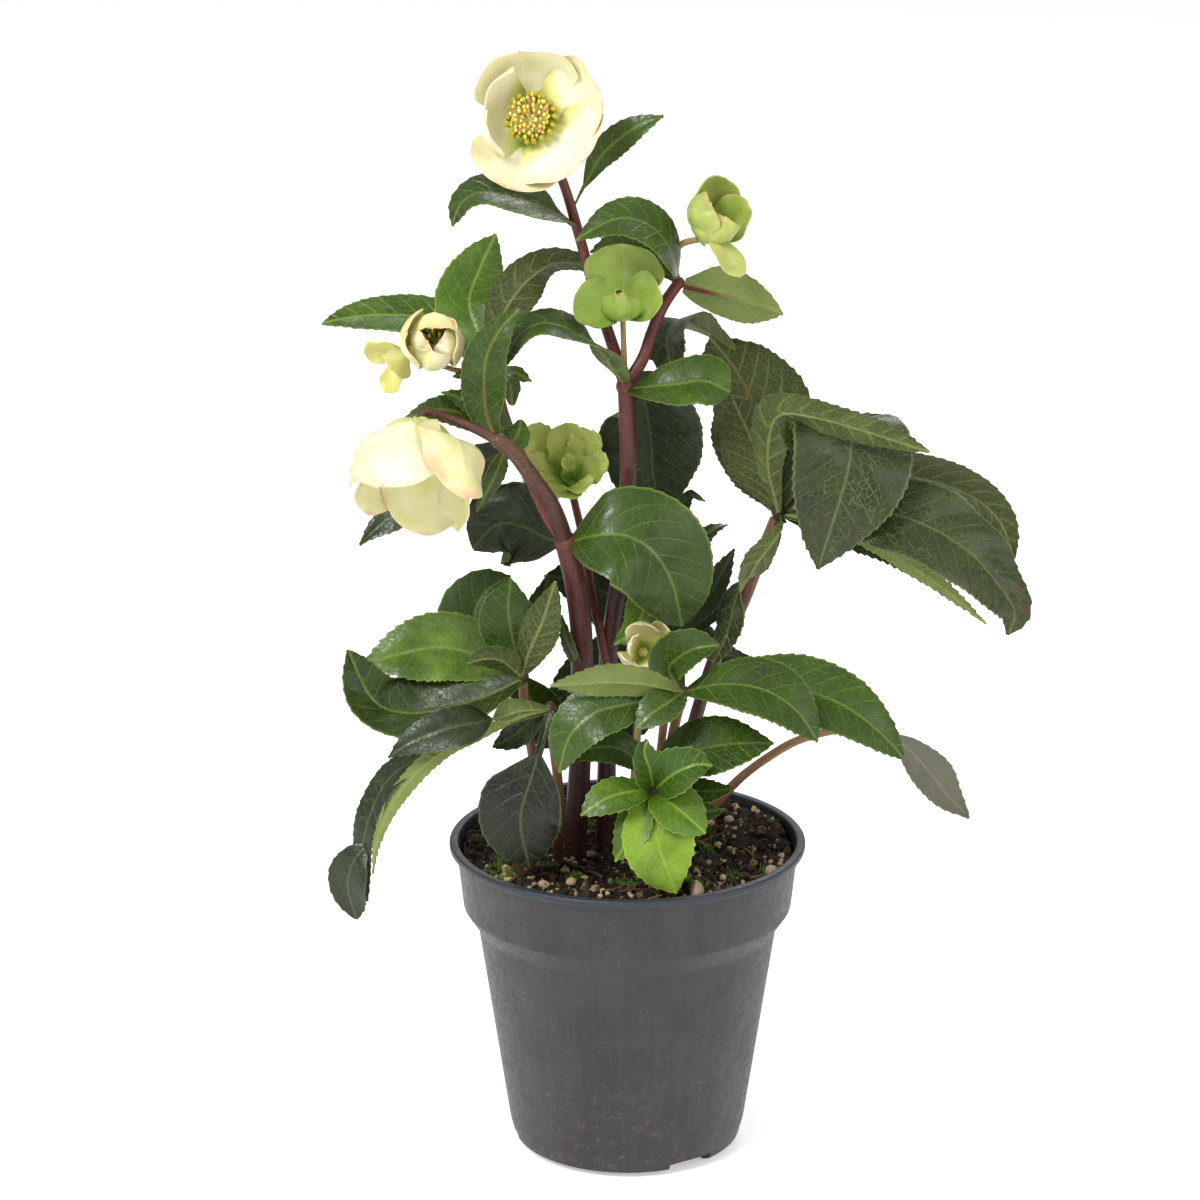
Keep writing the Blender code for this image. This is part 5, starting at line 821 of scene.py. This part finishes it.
def petal(name, pink, outside):
    """A waxy petal: cream to green by its tone, greener at the foot, finely veined, pink at its edge."""
    looks = Looks(name, Specular_IOR_Level=0.45, Subsurface_Weight=0.12, Subsurface_Scale=0.0015,
                  Subsurface_Radius=(1.0, 0.9, 0.4))
    tone = looks.shade[0] + (looks.noise(0.12, 4.0) - 0.5) * 0.45
    tone = tone + looks.ramp(looks.blade[2], 0.0, 0.42, 0.2 if outside else 0.9, 0.0)
    looks.fade(tone, (240, 236, 206), (214, 210, 128), (128, 156, 60), (0.05, 0.45), (0.40, 0.95))
    wavering = looks.blade[0] * 0.62 + looks.noise(0.25) * 1.1
    veins = looks.ramp(abs(looks.math("FRACT", wavering + 30.0) - 0.5), 0.0, 0.16, 1.0, 0.0)
    looks.paint(veins * 0.16, (196, 200, 110))
    edge = looks.ramp(looks.shade[1], 0.45 if outside else 0.85, 1.0)
    blush = edge * looks.red * looks.ramp(looks.noise(0.2, 4.0), 0.3, 0.6)
    looks.paint(blush * pink, (232, 164, 140))
    freckles = looks.ramp(looks.cells(0.9), 0.0, 0.14, 1.0, 0.0)
    looks.paint(freckles * looks.ramp(looks.noise(0.3), 0.52, 0.62, 0.0, 0.35), (170, 110, 90))
    looks.set("Roughness", looks.ramp(looks.noise(0.5), 0.3, 0.7, 0.34, 0.52))
    return looks.finish(looks.noise(1.4, 2.0) - veins, 0.12, 0.0004)


def stalk(name, dark, base, light, speck, amount):
    """A waxy stem: its tone along it, fine grooves and tan speckles."""
    looks = Looks(name, Specular_IOR_Level=0.45)
    streaks = looks.noise(0.9, 4.0, 0.6, looks.vector(looks.blade[0], looks.blade[1] * 0.12, 0.0))
    looks.fade(looks.shade[0] + (streaks - 0.5) * 0.8, dark, base, light, (0.0, 0.55), (0.45, 1.1))
    spots = looks.ramp(looks.cells(0.95), 0.05, 0.30, 1.0, 0.0) * looks.ramp(looks.noise(0.6), 0.42, 0.60)
    looks.paint(spots * amount, speck)
    looks.set("Roughness", looks.ramp(streaks, 0.3, 0.7, 0.36, 0.56))
    return looks.finish(streaks + spots * 0.4, 0.25, 0.0004)


def plastic(name):
    """Recycled black plastic: mottled, streaked down, scuffed round, dusty low down and in specks, with a
    painted bluish reflection on the rim.
    """
    looks = Looks(name, Specular_IOR_Level=0.45)
    x, y, height = looks.split(looks.place)
    turn = looks.math("ARCTAN2", x, y) * 60.0
    down = looks.noise(0.35, 4.0, 0.6, looks.vector(turn, 0.0, height * 0.04))
    round_it = looks.noise(0.8, 4.0, 0.7, looks.vector(turn * 0.05, 0.0, height))
    mottle = looks.noise(0.05, 5.0, 0.65) * 0.6 + down * 0.4
    looks.colour = looks.blend(looks.ramp(mottle, 0.38, 0.62), (40, 37, 39), (52, 48, 49))
    # Painted reflection: from 110.5 mm up, the rim is tinted a darker blue-grey.
    looks.paint(looks.ramp(height, 110.5, 114.0, 0.0, 0.8), (40, 46, 54))
    dust = looks.ramp(looks.noise(0.30, 6.0, 0.75), 0.50, 0.78) * looks.ramp(height, 4.0, 60.0, 0.55, 0.12)
    looks.paint(dust, (126, 112, 98))
    scuffs = looks.ramp(round_it, 0.60, 0.72) * looks.ramp(looks.noise(0.07), 0.50, 0.62, 0.0, 0.22)
    looks.paint(scuffs, (150, 142, 134))
    specks = looks.ramp(looks.cells(0.33), 0.02, 0.10, 1.0, 0.0)
    looks.paint(specks * looks.ramp(looks.noise(0.09), 0.50, 0.66, 0.0, 0.6), (165, 155, 140))
    looks.set("Roughness", looks.ramp(looks.noise(0.4, 5.0) + dust, 0.3, 0.8, 0.38, 0.60))
    return looks.finish(looks.noise(2.0, 3.0) + down * 0.6, 0.14, 0.0003)


def grains(name, dark, base, light, scale, roughness, strength):
    """A rough natural grain, such as peat, bark, stone or moss, its tone set by each shape."""
    looks = Looks(name, roughness, Specular_IOR_Level=0.3)
    tone = looks.shade[0] + (looks.noise(scale, 5.0, 0.7) - 0.5) * 1.0
    looks.fade(tone, dark, base, light, (0.0, 0.6), (0.70, 1.15))
    return looks.finish(looks.noise(scale * 3, 4.0, 0.7), strength, 0.0008)


def soft(name, base, light, roughness):
    """A small fleshy part of a bloom, paler along its length."""
    looks = Looks(name, roughness, Specular_IOR_Level=0.4)
    tone = looks.shade[0] + (looks.noise(0.8) - 0.5) * 0.7
    looks.colour = looks.blend(looks.ramp(tone, 0.0, 1.0), base, light)
    return looks.finish(looks.noise(3.0), 0.2, 0.0003)


def materials():
    """Each material by its name, made by its kind's function from its colours and numbers."""
    kinds = {
        leaf: {
            "leaf_dark": ((24, 33, 12), (48, 62, 24), (96, 110, 46), (124, 134, 82), 0.27, 0.30),
            "leaf_plain": ((24, 28, 15), (38, 52, 20), (88, 104, 44), (96, 112, 60), 0.32, 0.06),
            "leaf_grey": ((66, 66, 54), (98, 98, 82), (128, 124, 106), (146, 142, 120), 0.5, 0.3),
            "leaf_green": ((28, 42, 8), (52, 76, 15), (106, 136, 34), (132, 154, 66), 0.29, 0.12),
            "leaf_young": ((50, 80, 10), (88, 122, 20), (142, 174, 48), (164, 190, 84), 0.32, 0.12),
        },
        underside: {"leaf_under": ()},
        petal: {"petal_inside": (0.8, False), "petal_outside": (0.9, True)},
        stalk: {
            "stem_red": ((56, 26, 22), (104, 50, 40), (142, 92, 64), (186, 156, 122), 0.5),
            "stem_brown": ((70, 40, 30), (132, 92, 64), (156, 142, 82), (196, 172, 130), 0.55),
        },
        plastic: {"pot_plastic": ()},
        grains: {
            "soil": ((20, 14, 10), (72, 55, 37), (190, 168, 124), 0.5, 0.9, 0.6),
            "pebble": ((112, 92, 72), (166, 144, 118), (206, 190, 166), 0.6, 0.7, 0.3),
            "twig": ((50, 34, 24), (104, 76, 50), (160, 128, 88), 1.0, 0.8, 0.4),
            "moss": ((44, 66, 22), (92, 124, 40), (150, 172, 76), 0.8, 0.8, 0.2),
        },
        soft: {
            "stamen_yellow": ((198, 182, 60), (236, 222, 124), 0.55),
            "nectary": ((120, 124, 22), (190, 174, 44), 0.32),
            "style": ((150, 60, 70), (214, 120, 116), 0.4),
        },
    }
    return {name: kind(name + "_fine", *given) for kind, row in kinds.items() for name,
            given in row.items()}


MATERIALS = materials()


def stage():
    """The camera at the photograph's viewing angle, a pale floor and soft light."""
    camera = bpy.data.objects.new("camera", bpy.data.cameras.new("camera"))
    camera.data.sensor_width = 36
    camera.data.lens = CAMERA_LENS
    camera.location = CAMERA_PLACE
    camera.rotation_euler = (math.radians(CAMERA_TILT), 0, 0)
    bpy.context.scene.collection.objects.link(camera)
    bpy.context.scene.camera = camera
    bpy.ops.mesh.primitive_plane_add(size=9, location=(0, 2.2, -0.0004))
    floor = bpy.context.object
    floor.name = "floor"
    looks = Looks("floor", 0.85, Specular_IOR_Level=0.2)
    looks.set("Base Color", (0.85, 0.85, 0.85))
    looks.set("Emission Color", (1.0, 1.0, 1.0))
    looks.set("Emission Strength", 0.42)
    floor.data.materials.append(looks.material)
    world = bpy.data.worlds.new("studio")
    world.use_nodes = True
    background = world.node_tree.nodes["Background"]
    background.inputs["Color"].default_value = (1, 1, 1, 1)
    background.inputs["Strength"].default_value = 0.60
    bpy.context.scene.world = world
    for name, place, power, size in LIGHTS:
        light = bpy.data.objects.new(name, bpy.data.lights.new(name, "AREA"))
        light.data.energy = power
        light.data.size = size
        light.location = place
        light.rotation_euler = (Vector(LIT_POINT) - Vector(place)).to_track_quat("-Z", "Y").to_euler()
        bpy.context.scene.collection.objects.link(light)
    bpy.context.scene.view_settings.view_transform = "Standard"


def stem_left():
    """The maroon flowering stem on the left, forked at its node, with its small bracts."""
    node = seen(-22, 225, 5)
    fork = seen(-46, 263, 18)
    shapes = [
        tube(route(*foot(-19, 0), (-17.5, 140, 1), (-16.5, 180, 2), (-18, 205, 3), node), [4.2, 4.0, 4.1],
             sides=28, tone=(-1.0, -0.6, 0.1, 0.25, 0.3)),
        knob(node, 4.5, tone=0.4),
        tube(route(node, (-27, 239, 10), (-33, 248, 13), (-40, 258, 16), fork), [3.1, 2.7],
             tone=(-0.1, 0.2), slot=1),
        knob(fork, 2.9, slot=1, tone=0.2),
        tube(route(fork, (-53, 267, 20), (-61, 270.5, 23), behind_bloom(LEFT_BLOOM, LEFT_AXIS, 4.2),
                   LEFT_BLOOM),
             [1.9, 1.6], stop=KNOB_LARGE, tone=(0.2, 0.0), slot=1),
        tube(route(node, (-29, 236, 1), (-35, 250, -3), (-40, 261, -5), (-45, 275, -7), UPPER_NODE),
             [2.5, 2.1], tone=(0.4, 0.6)),
        knob(UPPER_NODE, 2.6, tone=0.5),
        tube(route(UPPER_NODE, (-54, 294.5, -6), behind_bloom(CUP_BLOOM, CUP_AXIS, 6), CUP_BLOOM),
             [1.4, 1.2], stop=KNOB_SMALL, tone=(0.5, 0.8), slot=1),
        tube(route(UPPER_NODE, (-58, 288.5, -14), PALE_BLOOM), [1.1, 0.9], stop=KNOB_SMALL,
             tone=(0.5, 0.8), slot=1),
    ]
    for index, (spine, width, face) in enumerate(SMALL_BRACTS_LEFT):
        shapes.append(blade(spine, width, face, "bract", slots=(2, 3), tone=0.45, red=0.5,
                            seed=900 + index))
    return shapes


def stem_middle():
    """The dark red flowering stem, forked at its node, with the thin stalk of the green cluster."""
    node = seen(-1, 283, -6)
    return [
        tube(route(*foot(-8, 6), (-7.5, 150, -6), (-7, 182, -6), (-3, 215, -6), (0, 250, -6), node),
             [3.6, 3.3, 2.9], sides=26, tone=(-1.0, -0.4, 0.0, 0.15, 0.3)),
        knob(node, 3.5, tone=0.4),
        tube(route(node, (-5, 296, -7), (-12, 318, -9), (-18, 340, -12), (-23.5, 358, -16),
                   behind_bloom(TOP_BLOOM, TOP_AXIS, 7), TOP_BLOOM),
             [2.3, 1.9, 1.6], stop=KNOB_LARGE, tone=(0.3, 0.6)),
        tube(route(node, (5, 293, -8), (8, 302, -10), (12, 312, -11), RIGHT_NODE), [2.3, 2.0],
             tone=(0.3, 0.45)),
        knob(RIGHT_NODE, 2.4, tone=0.4),
        tube(route(RIGHT_NODE, (16, 327, -12), (18, 334, -10), BUD_BLOOM), [1.3, 1.2], stop=KNOB_SMALL,
             tone=(0.6, 0.9), slot=1),
        tube(route(node, (-1.5, 293, -4), GREEN_BLOOM), [1.1, 1.0], stop=KNOB_SMALL, tone=(0.6, 0.9),
             slot=1),
        tube(route((-7, 176, -4), (-10, 192, -3), (-13, 206, -8), (-16, 226, -19),
                   behind_bloom(CLUSTER_BLOOM, CLUSTER_AXIS, 6), CLUSTER_BLOOM),
             [1.7, 1.4], stop=KNOB_SMALL, tone=(0.4, 0.6)),
    ]


def bloom_frame(axis):
    """A bloom's axis with the upward and the sideways direction square to it."""
    axis = unit(np.array(axis))
    upward = unit(np.array([0, 0, 1]) - axis[2] * axis)
    return axis, upward, np.cross(upward, axis)


def petal_shape(receptacle, axis, hub, sizes, layer, wave=0.5, rough=0.35, teeth=0.0, tone=0.5, red=0.0,
                seed=0):
    """A petal cut from a bowl that opens along the petal by its list of angles, inner layers further in."""
    draw = np.random.RandomState(seed)
    axis, upward, across = bloom_frame(axis)
    turn, length, width, openings = sizes
    run = np.linspace(0, 1.7, 171) * length
    angles = np.radians(spread(openings, np.clip(run / length, 0, 1)))
    step = run[1]
    bowl_radius = np.concatenate([[0], np.cumsum((np.sin(angles[1:]) + np.sin(angles[:-1])) / 2 * step)])
    bowl_height = np.concatenate([[0], np.cumsum((np.cos(angles[1:]) + np.cos(angles[:-1])) / 2 * step)])
    rows = int(np.clip(length / PETAL_GRAIN, 12, 50))
    columns = 2 * int(np.clip(width / 2 / PETAL_GRAIN, 4, 18))
    t = np.linspace(hub * 0.6 / length, 1, rows + 1)
    foot, widest, run_in, blunt = SHAPES["petal"]
    rise = foot + (1 - foot) * np.sin(np.pi / 2 * np.clip(t / widest, 0, 1))
    fall = (1 - np.clip((t - widest) / (1 - widest), 0, 1) ** run_in) ** blunt
    half = np.maximum(width / 2 * np.where(t < widest, rise, fall), 0.4)[:, None]
    lateral = np.linspace(1, -1, columns + 1)[None, :]
    uneven = 1 + sum(0.02 * np.sin(k * t + draw.uniform(0, 6)) for k in (5, 9, 15))[:,
                                                                                    None] * np.sign(lateral)
    saw = ((t * length / PETAL_TOOTH + draw.uniform(0, 1)) % 1.0 - 0.45) * ease(t, 0.2, 0.4)
    w = lateral * (half * uneven + teeth * saw[:, None])
    s = (t * length)[:, None] * np.ones_like(lateral)
    reach = np.hypot(s, w)
    around = np.arctan2(w, s)
    radius = np.interp(reach, run, bowl_radius)
    height = np.interp(reach, run, bowl_height)
    angle = np.interp(reach, run, angles)
    around = math.radians(turn) + around * (reach / np.maximum(radius, 0.55 * reach)) ** 0.7
    radial = np.cos(around)[..., None] * across + np.sin(around)[..., None] * upward
    inward = np.sin(angle)[..., None] * axis - np.cos(angle)[..., None] * radial
    lift = layer * PETAL_STEP * ease(s, 0.0, 9.0)
    a = np.abs(lateral)
    lift = lift + wave * a**2 * np.sin(np.pi * (1.2 + 2.2 * t[:, None]) * 1.6 + np.where(lateral > 0, 1.9,
                                                                                         0.3))
    lift = lift + rough * sum(np.sin(draw.uniform(0.1, 0.3) * s + draw.uniform(-0.3,
                                                                               0.3) * w + draw.uniform(0,
                                                                                                       6))
                              for _ in range(4)) * ease(s, 2.0, 12.0)
    lift = lift - 0.35 * np.exp(-(w / 1.4) ** 2) * ease(1 - t, 0.0, 0.5)[:, None]
    grid = receptacle + axis * height[..., None] + radial * radius[..., None] + inward * lift[..., None]
    rim = np.maximum(a, ease(t, 0.80, 1.0)[:, None])
    tone = tone + draw.uniform(-0.05, 0.05)
    red = np.repeat(spread(red, t), columns + 1)
    return sheet_shape(grid, PETAL_THICKNESS, np.zeros_like(w), (0, 1), (w, s / 4, t[:, None]),
                       (tone, rim, 0.0), red)


def bloom(name, receptacle, axis, hub, petals):
    """A bloom's receptacle and petals."""
    look = PETAL_LOOK[name]
    shapes = [knob(receptacle, hub, slot=1, tone=look["tone"] + 0.05)]
    for layer, sizes in enumerate(petals):
        shapes.append(petal_shape(receptacle, axis, hub, sizes, layer, seed=40 * layer + len(name), **look))
    return shapes


def bloom_centre(receptacle, axis, hub, height, ring, nectaries, stamens, styles):
    """The ring of curled tubular nectaries, the sheaf of stamens and the styles, on a green boss."""
    axis, upward, across = bloom_frame(axis)
    draw = np.random.RandomState(int(height * 10))
    base = receptacle + axis * (hub + GAP + 1.6)
    shapes = [tube([base - axis * 0.6, base + axis * 1.4], [ring * 0.62, ring * 0.5], step=0.7, slot=2)]

    def outward(turn):
        return math.cos(turn) * across + math.sin(turn) * upward

    for k in range(nectaries):
        radial = outward(2 * math.pi * (k + draw.uniform(-0.2, 0.2)) / nectaries)
        tall = height * draw.uniform(0.50, 0.66)
        route = [base + radial * (ring * 0.80 + tall * away) + axis * tall * up
                 for away, up in ((0, 0), (0.40, 0.45), (0.62, 0.95), (0.45, 1.25))]
        shapes.append(tube(route, [0.45, 0.85, 1.05, 0.75], sides=10, step=0.8, slot=1, tone=(0.2, 0.8)))
    for k in range(stamens):
        share = math.sqrt((k + 0.5) / stamens)
        radial = outward(GOLDEN_ANGLE * k)
        root = base + axis * 0.8 + radial * ring * 0.42 * share
        lean = math.radians(8 + 34 * share + draw.uniform(-6, 6))
        tip = root + (radial * math.sin(lean) + axis * math.cos(lean)) * height * draw.uniform(0.78, 1.08)
        shapes.append(tube([root, (root + tip) / 2 + axis * 0.3, tip], [0.20, 0.17], sides=6, step=1.5,
                           tone=(0.9, 0.9)))
        shapes.append(knob(tip, draw.uniform(0.50, 0.72), tone=draw.uniform(0.2, 0.8), sides=8, tall=1.3))
    for k in range(styles):
        radial = outward(2 * math.pi * (k + 0.3) / styles)
        root = base + radial * ring * 0.12
        tip = root + radial * height * 0.85 + axis * height * 1.15
        shapes.append(tube([root, (root + tip) / 2 + axis * height * 0.22, tip], [0.45, 0.3], sides=8,
                           step=1.0, slot=3, tone=(0.3, 0.9)))
    return shapes


def turned(profile, sides):
    """Points and faces turned about Z from a profile of (radius, height) with its ends on the axis."""
    points = []
    rings = []
    for radius, height in profile:
        count = 1 if radius == 0 else sides
        rings.append(list(range(len(points), len(points) + count)))
        for k in range(count):
            angle = 2 * math.pi * k / sides
            points.append((radius * math.cos(angle), radius * math.sin(angle), height))
    faces = []
    for low, high in zip(rings, rings[1:]):
        for k in range(sides):
            n = (k + 1) % sides
            if len(low) == 1:
                faces.append((low[0], high[n], high[k]))
            elif len(high) == 1:
                faces.append((low[k], low[n], high[0]))
            else:
                faces.append((low[k], low[n], high[n], high[k]))
    return points, faces


def rounded(profile, radius, steps=5):
    """The profile with each inner corner replaced by a small arc."""
    made = [profile[0]]
    for before, corner, after in zip(profile, profile[1:], profile[2:]):
        a, b, c = (np.array(p, float) for p in (before, corner, after))
        reach = min(radius, 0.45 * np.linalg.norm(a - b), 0.45 * np.linalg.norm(c - b))
        start = b + (a - b) / np.linalg.norm(a - b) * reach
        end = b + (c - b) / np.linalg.norm(c - b) * reach
        for u in np.linspace(0, 1, steps):
            made.append(tuple((1 - u) ** 2 * start + 2 * u * (1 - u) * b + u * u * end))
    return made + [profile[-1]]


def pot():
    """The moulded pot, with rounded edges, faint mould rings and notches in its bottom corner."""
    outer = [(0, 0), (WALL_FOOT_RADIUS - FOOT_ROUND, 0),
             (WALL_FOOT_RADIUS - FOOT_ROUND * 0.3, FOOT_ROUND * 0.3),
             (WALL_FOOT_RADIUS, FOOT_ROUND * 1.4), (WALL_TOP_RADIUS, SHOULDER - 2),
             (WALL_TOP_RADIUS + 1.2, SHOULDER),
             (COLLAR_FOOT_RADIUS - 2, SHOULDER + 3), (COLLAR_FOOT_RADIUS, COLLAR_FOOT - 3),
             (COLLAR_RADIUS, POT_HEIGHT - RIM_DEPTH), (RIM_RADIUS, POT_HEIGHT - RIM_DEPTH + 1),
             (RIM_RADIUS, POT_HEIGHT - 0.6), (RIM_RADIUS - 0.6, POT_HEIGHT)]
    inner = [(RIM_RADIUS - 3.2, POT_HEIGHT)] + [(r - POT_WALL, z) for r, z in reversed(outer[3:8])]
    inner += [(WALL_FOOT_RADIUS - FOOT_ROUND * 0.6, FOOT_ROUND * 0.6 + POT_WALL),
              (0, FOOT_ROUND * 0.6 + POT_WALL)]
    points, faces = turned(rounded(outer + inner, 0.8), 180)
    mesh = bpy.data.meshes.new("pot_fine")
    mesh.from_pydata((np.array(points) * MM).tolist(), [], faces)
    made = bpy.data.objects.new("pot_fine", mesh)
    bpy.context.scene.collection.objects.link(made)
    cutters = []
    for k in range(DRAIN_HOLES):
        angle = math.radians(DRAIN_TURN + 360 / DRAIN_HOLES * k)
        bpy.ops.mesh.primitive_cube_add(size=1)
        cutter = bpy.context.object
        reach = WALL_FOOT_RADIUS + 3
        cutter.scale = (24 * MM, DRAIN_WIDTH * MM, 2 * DRAIN_HEIGHT * MM)
        cutter.location = (reach * math.sin(angle) * MM, -reach * math.cos(angle) * MM, 0)
        cutter.rotation_euler = (0, 0, angle - math.pi / 2)
        cutters.append(cutter)
        cut = made.modifiers.new("notch", "BOOLEAN")
        cut.operation = "DIFFERENCE"
        cut.object = cutter
        cut.solver = "EXACT"
    graph = bpy.context.evaluated_depsgraph_get()
    whole = bpy.data.meshes.new_from_object(made.evaluated_get(graph))
    made.modifiers.clear()
    made.data = whole
    for cutter in cutters:
        bpy.data.objects.remove(cutter)
    whole.materials.clear()
    whole.materials.append(MATERIALS["pot_plastic"])
    whole.shade_smooth()
    whole.set_sharp_from_angle(angle=math.radians(40))
    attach(made, "root")
    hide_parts("pot")


def ground(x, y):
    """How high the rough soil stands at a place on it."""
    waves = ((0.11, 0.07, 1.0, 0.9), (-0.09, 0.15, 2.6, 0.7), (0.31, -0.22, 0.4, 0.45),
             (0.24, 0.37, 4.0, 0.4),
             (0.62, 0.48, 1.3, 0.25), (-0.55, 0.71, 5.1, 0.25), (1.3, -0.9, 3.3, 0.16),
             (0.95, 1.45, 0.2, 0.16))
    heaps = SOIL_HEAP * ease(np.hypot(x, y), 38, 58) * ease(y, -12, 24)
    return SOIL_HEIGHT - 0.6 + heaps + sum(size * np.sin(kx * x + ky * y + turn) for kx, ky, turn,
                                           size in waves)


def on_ground(x, y, above):
    """The point this far above the soil at a place on it."""
    return np.array([x, y, ground(x, y) + above])


def anywhere(draw, reach, low, high):
    """A random place on the soil, between these shares of its area, from the middle out."""
    angle = draw.uniform(0, 2 * math.pi)
    away = reach * math.sqrt(draw.uniform(low, high))
    return np.array([away * math.cos(angle), away * math.sin(angle)])


def kept_in(place, reach):
    """The place, brought in to the reach where it lies beyond it."""
    return place * min(1, reach / math.hypot(*place))


def soil():
    """The potting mix: its body, crumbs, pebbles, twigs and tufts of moss."""
    draw = np.random.RandomState(11)
    clear = POT_WALL + GAP
    low = FOOT_ROUND * 0.6 + POT_WALL + GAP
    side = [(0, low), (WALL_FOOT_RADIUS - FOOT_ROUND * 0.6 - clear, low),
            (WALL_FOOT_RADIUS - clear - 0.6, 12),
            (WALL_TOP_RADIUS - clear - 0.4, SHOULDER - 2), (COLLAR_FOOT_RADIUS - clear - 1.6, SHOULDER + 7)]
    rim = COLLAR_RADIUS - clear - 0.9
    top = [(rim * share, SOIL_HEIGHT) for share in np.linspace(1, 0.012, 72)]
    points, faces = turned(side + top + [(0, SOIL_HEIGHT)], 240)
    points = np.array(points)
    on_top = points[:, 2] > SOIL_HEIGHT - 1
    x, y = points[on_top, 0], points[on_top, 1]
    points[on_top, 2] = ground(x, y)
    shapes = [Shape(points, faces, 0, None, np.tile([0.15, 0.0, 0.0], (len(points), 1)))]
    ball, ball_faces = icosahedron()
    for _ in range(CRUMBS):
        x, y = anywhere(draw, rim, 0, 0.97)
        size = draw.choice([0.55, 0.8, 1.1, 1.6, 2.3], p=[0.30, 0.32, 0.22, 0.12, 0.04])
        lumps = ball * draw.uniform(0.65, 1.25, (12, 1)) * size * draw.uniform(0.6, 1.2, 3)
        shades = np.tile([draw.uniform(0, 1) ** 1.6 * 1.25, 0, 0], (12, 1))
        shapes.append(Shape(lumps + on_ground(x, y, size * 0.25), ball_faces, 0, None, shades))
    for x, y, size, tone in [(24.5, -42, 3.8, 0.75), (52, -22, 3.0, 0.7), (-2, -47, 1.8, 0.4),
                             (34, -30, 1.6, 0.9),
                             (-30, -36, 2.1, 0.55), (-44, -18, 1.7, 0.8), (12, -52, 1.5, 0.6),
                             (42, -36, 1.4, 0.5),
                             (-12, -34, 1.6, 0.7), (4, 40, 2.2, 0.6), (-35, 30, 2.0, 0.7),
                             (38, 28, 2.4, 0.5)]:
        points, pebble_faces = pebble(draw, size)
        shades = np.tile([tone, 0, 0], (len(points), 1))
        shapes.append(Shape(points + on_ground(x, y, size * 0.3), pebble_faces, 1, None, shades))
    for _ in range(TWIGS):
        middle = anywhere(draw, rim, 0.02, 0.85)
        turn = draw.uniform(0, math.pi)
        along = draw.uniform(5, 15) * np.array([math.cos(turn), math.sin(turn)])
        points = []
        for u in (-0.5, 0.0, 0.5):
            x, y = kept_in(middle + u * along + draw.uniform(-0.6, 0.6, 2), rim - 2)
            points.append(on_ground(x, y, draw.uniform(0.6, 1.8)))
        shapes.append(tube(points, [draw.uniform(0.25, 0.7), 0.3], sides=7, step=2.0, slot=2,
                           tone=(draw.uniform(0.1, 0.9),) * 2, ridge=0.06))
    for _ in range(MOSS_TUFTS):
        middle = anywhere(draw, rim, 0.12, 0.9)
        for _ in range(MOSS_BLADES):
            x, y = kept_in(middle + draw.normal(0, 1.6, 2), rim - 1.5)
            root = on_ground(x, y, 0.2)
            tip = root + np.array([draw.normal(0, 0.8), draw.normal(0, 0.8), draw.uniform(1.2, 2.6)])
            shapes.append(tube([root, tip], [0.28, 0.06], sides=4, step=3.0, slot=3,
                               tone=(draw.uniform(0, 0.6), draw.uniform(0.5, 1.0))))
    piece("soil", shapes, ["soil", "pebble", "twig", "moss"], sharp=60)


def icosahedron():
    golden = (1 + math.sqrt(5)) / 2
    points = np.array([(-1, golden, 0), (1, golden, 0), (-1, -golden, 0), (1, -golden, 0), (0, -1, golden),
                       (0, 1, golden), (0, -1, -golden), (0, 1, -golden), (golden, 0, -1), (golden, 0, 1),
                       (-golden, 0, -1), (-golden, 0, 1)]) / math.hypot(1, golden)
    faces = [(0, 11, 5), (0, 5, 1), (0, 1, 7), (0, 7, 10), (0, 10, 11), (1, 5, 9), (5, 11, 4), (11, 10, 2),
             (10, 7, 6), (7, 1, 8), (3, 9, 4), (3, 4, 2), (3, 2, 6), (3, 6, 8), (3, 8, 9), (4, 9, 5),
             (2, 4, 11), (6, 2, 10), (8, 6, 7), (9, 8, 1)]
    return points, faces


def pebble(draw, size):
    """A worn stone: a round knob with a few soft dents."""
    shape = knob(np.zeros(3), 1.0, sides=20)
    points = unit(shape.points)
    for _ in range(6):
        towards = unit(draw.normal(0, 1, 3))
        points = points * (1 - 0.22 * ease(points @ towards, 0.55, 1.0))[:, None]
    return points * size * draw.uniform(0.7, 1.15, 3), shape.faces


def main():
    pot()
    soil()
    piece("stem_left", stem_left(), ["stem_red", "stem_brown", "leaf_green", "leaf_under"])
    piece("stem_middle", stem_middle(), ["stem_red", "stem_brown"])
    for name, (root, way, radii, hub, hub_radius) in STALKS.items():
        shape = tube(route(*foot(*root), *way, hub), radii, stop=hub_radius, sides=20,
                     tone=STALK_TONE.get(name, (0.3, 0.7)))
        piece(name, [shape], ["stem_brown"])
    for name, (stalk_name, slot, blades) in LEAVES.items():
        hub, hub_radius = STALKS[stalk_name][3:]
        shapes = [knob(seen(*hub), hub_radius * 0.95, slot=2, tone=-0.1)]
        for index, (spine, width, face, more) in enumerate(blades):
            look = {**LEAF_LOOK.get(name, {}), **more, **LEAF_LOOK.get((name, index), {})}
            shapes.append(blade(spine, width, face, seed=17 * index + len(name) * 131, **look))
        piece(name, shapes, [LEAF_UPPER.get(name, slot), "leaf_under", "stem_brown"])
    for name, (spine, width, face, clearance, slot, more) in BRACTS.items():
        look = {"shape": "bract", "skip": clearance * 0.6, **LEAF_LOOK.get(name, {}), **more}
        shape = blade(spine, width, face, seed=sum(map(ord, name)), **look)
        piece(name, [shape], [LEAF_UPPER.get(name, slot), "leaf_under"])
    for name, (receptacle, axis, hub, slot, petals) in BLOOMS.items():
        piece(name, bloom(name, receptacle, axis, hub, petals), ["petal_inside", "petal_outside"])
    for name, row in BLOOM_CENTRES.items():
        piece(name, bloom_centre(*row),
              ["stamen_yellow", "nectary", "petal_inside", "style"])
    stage()


main()
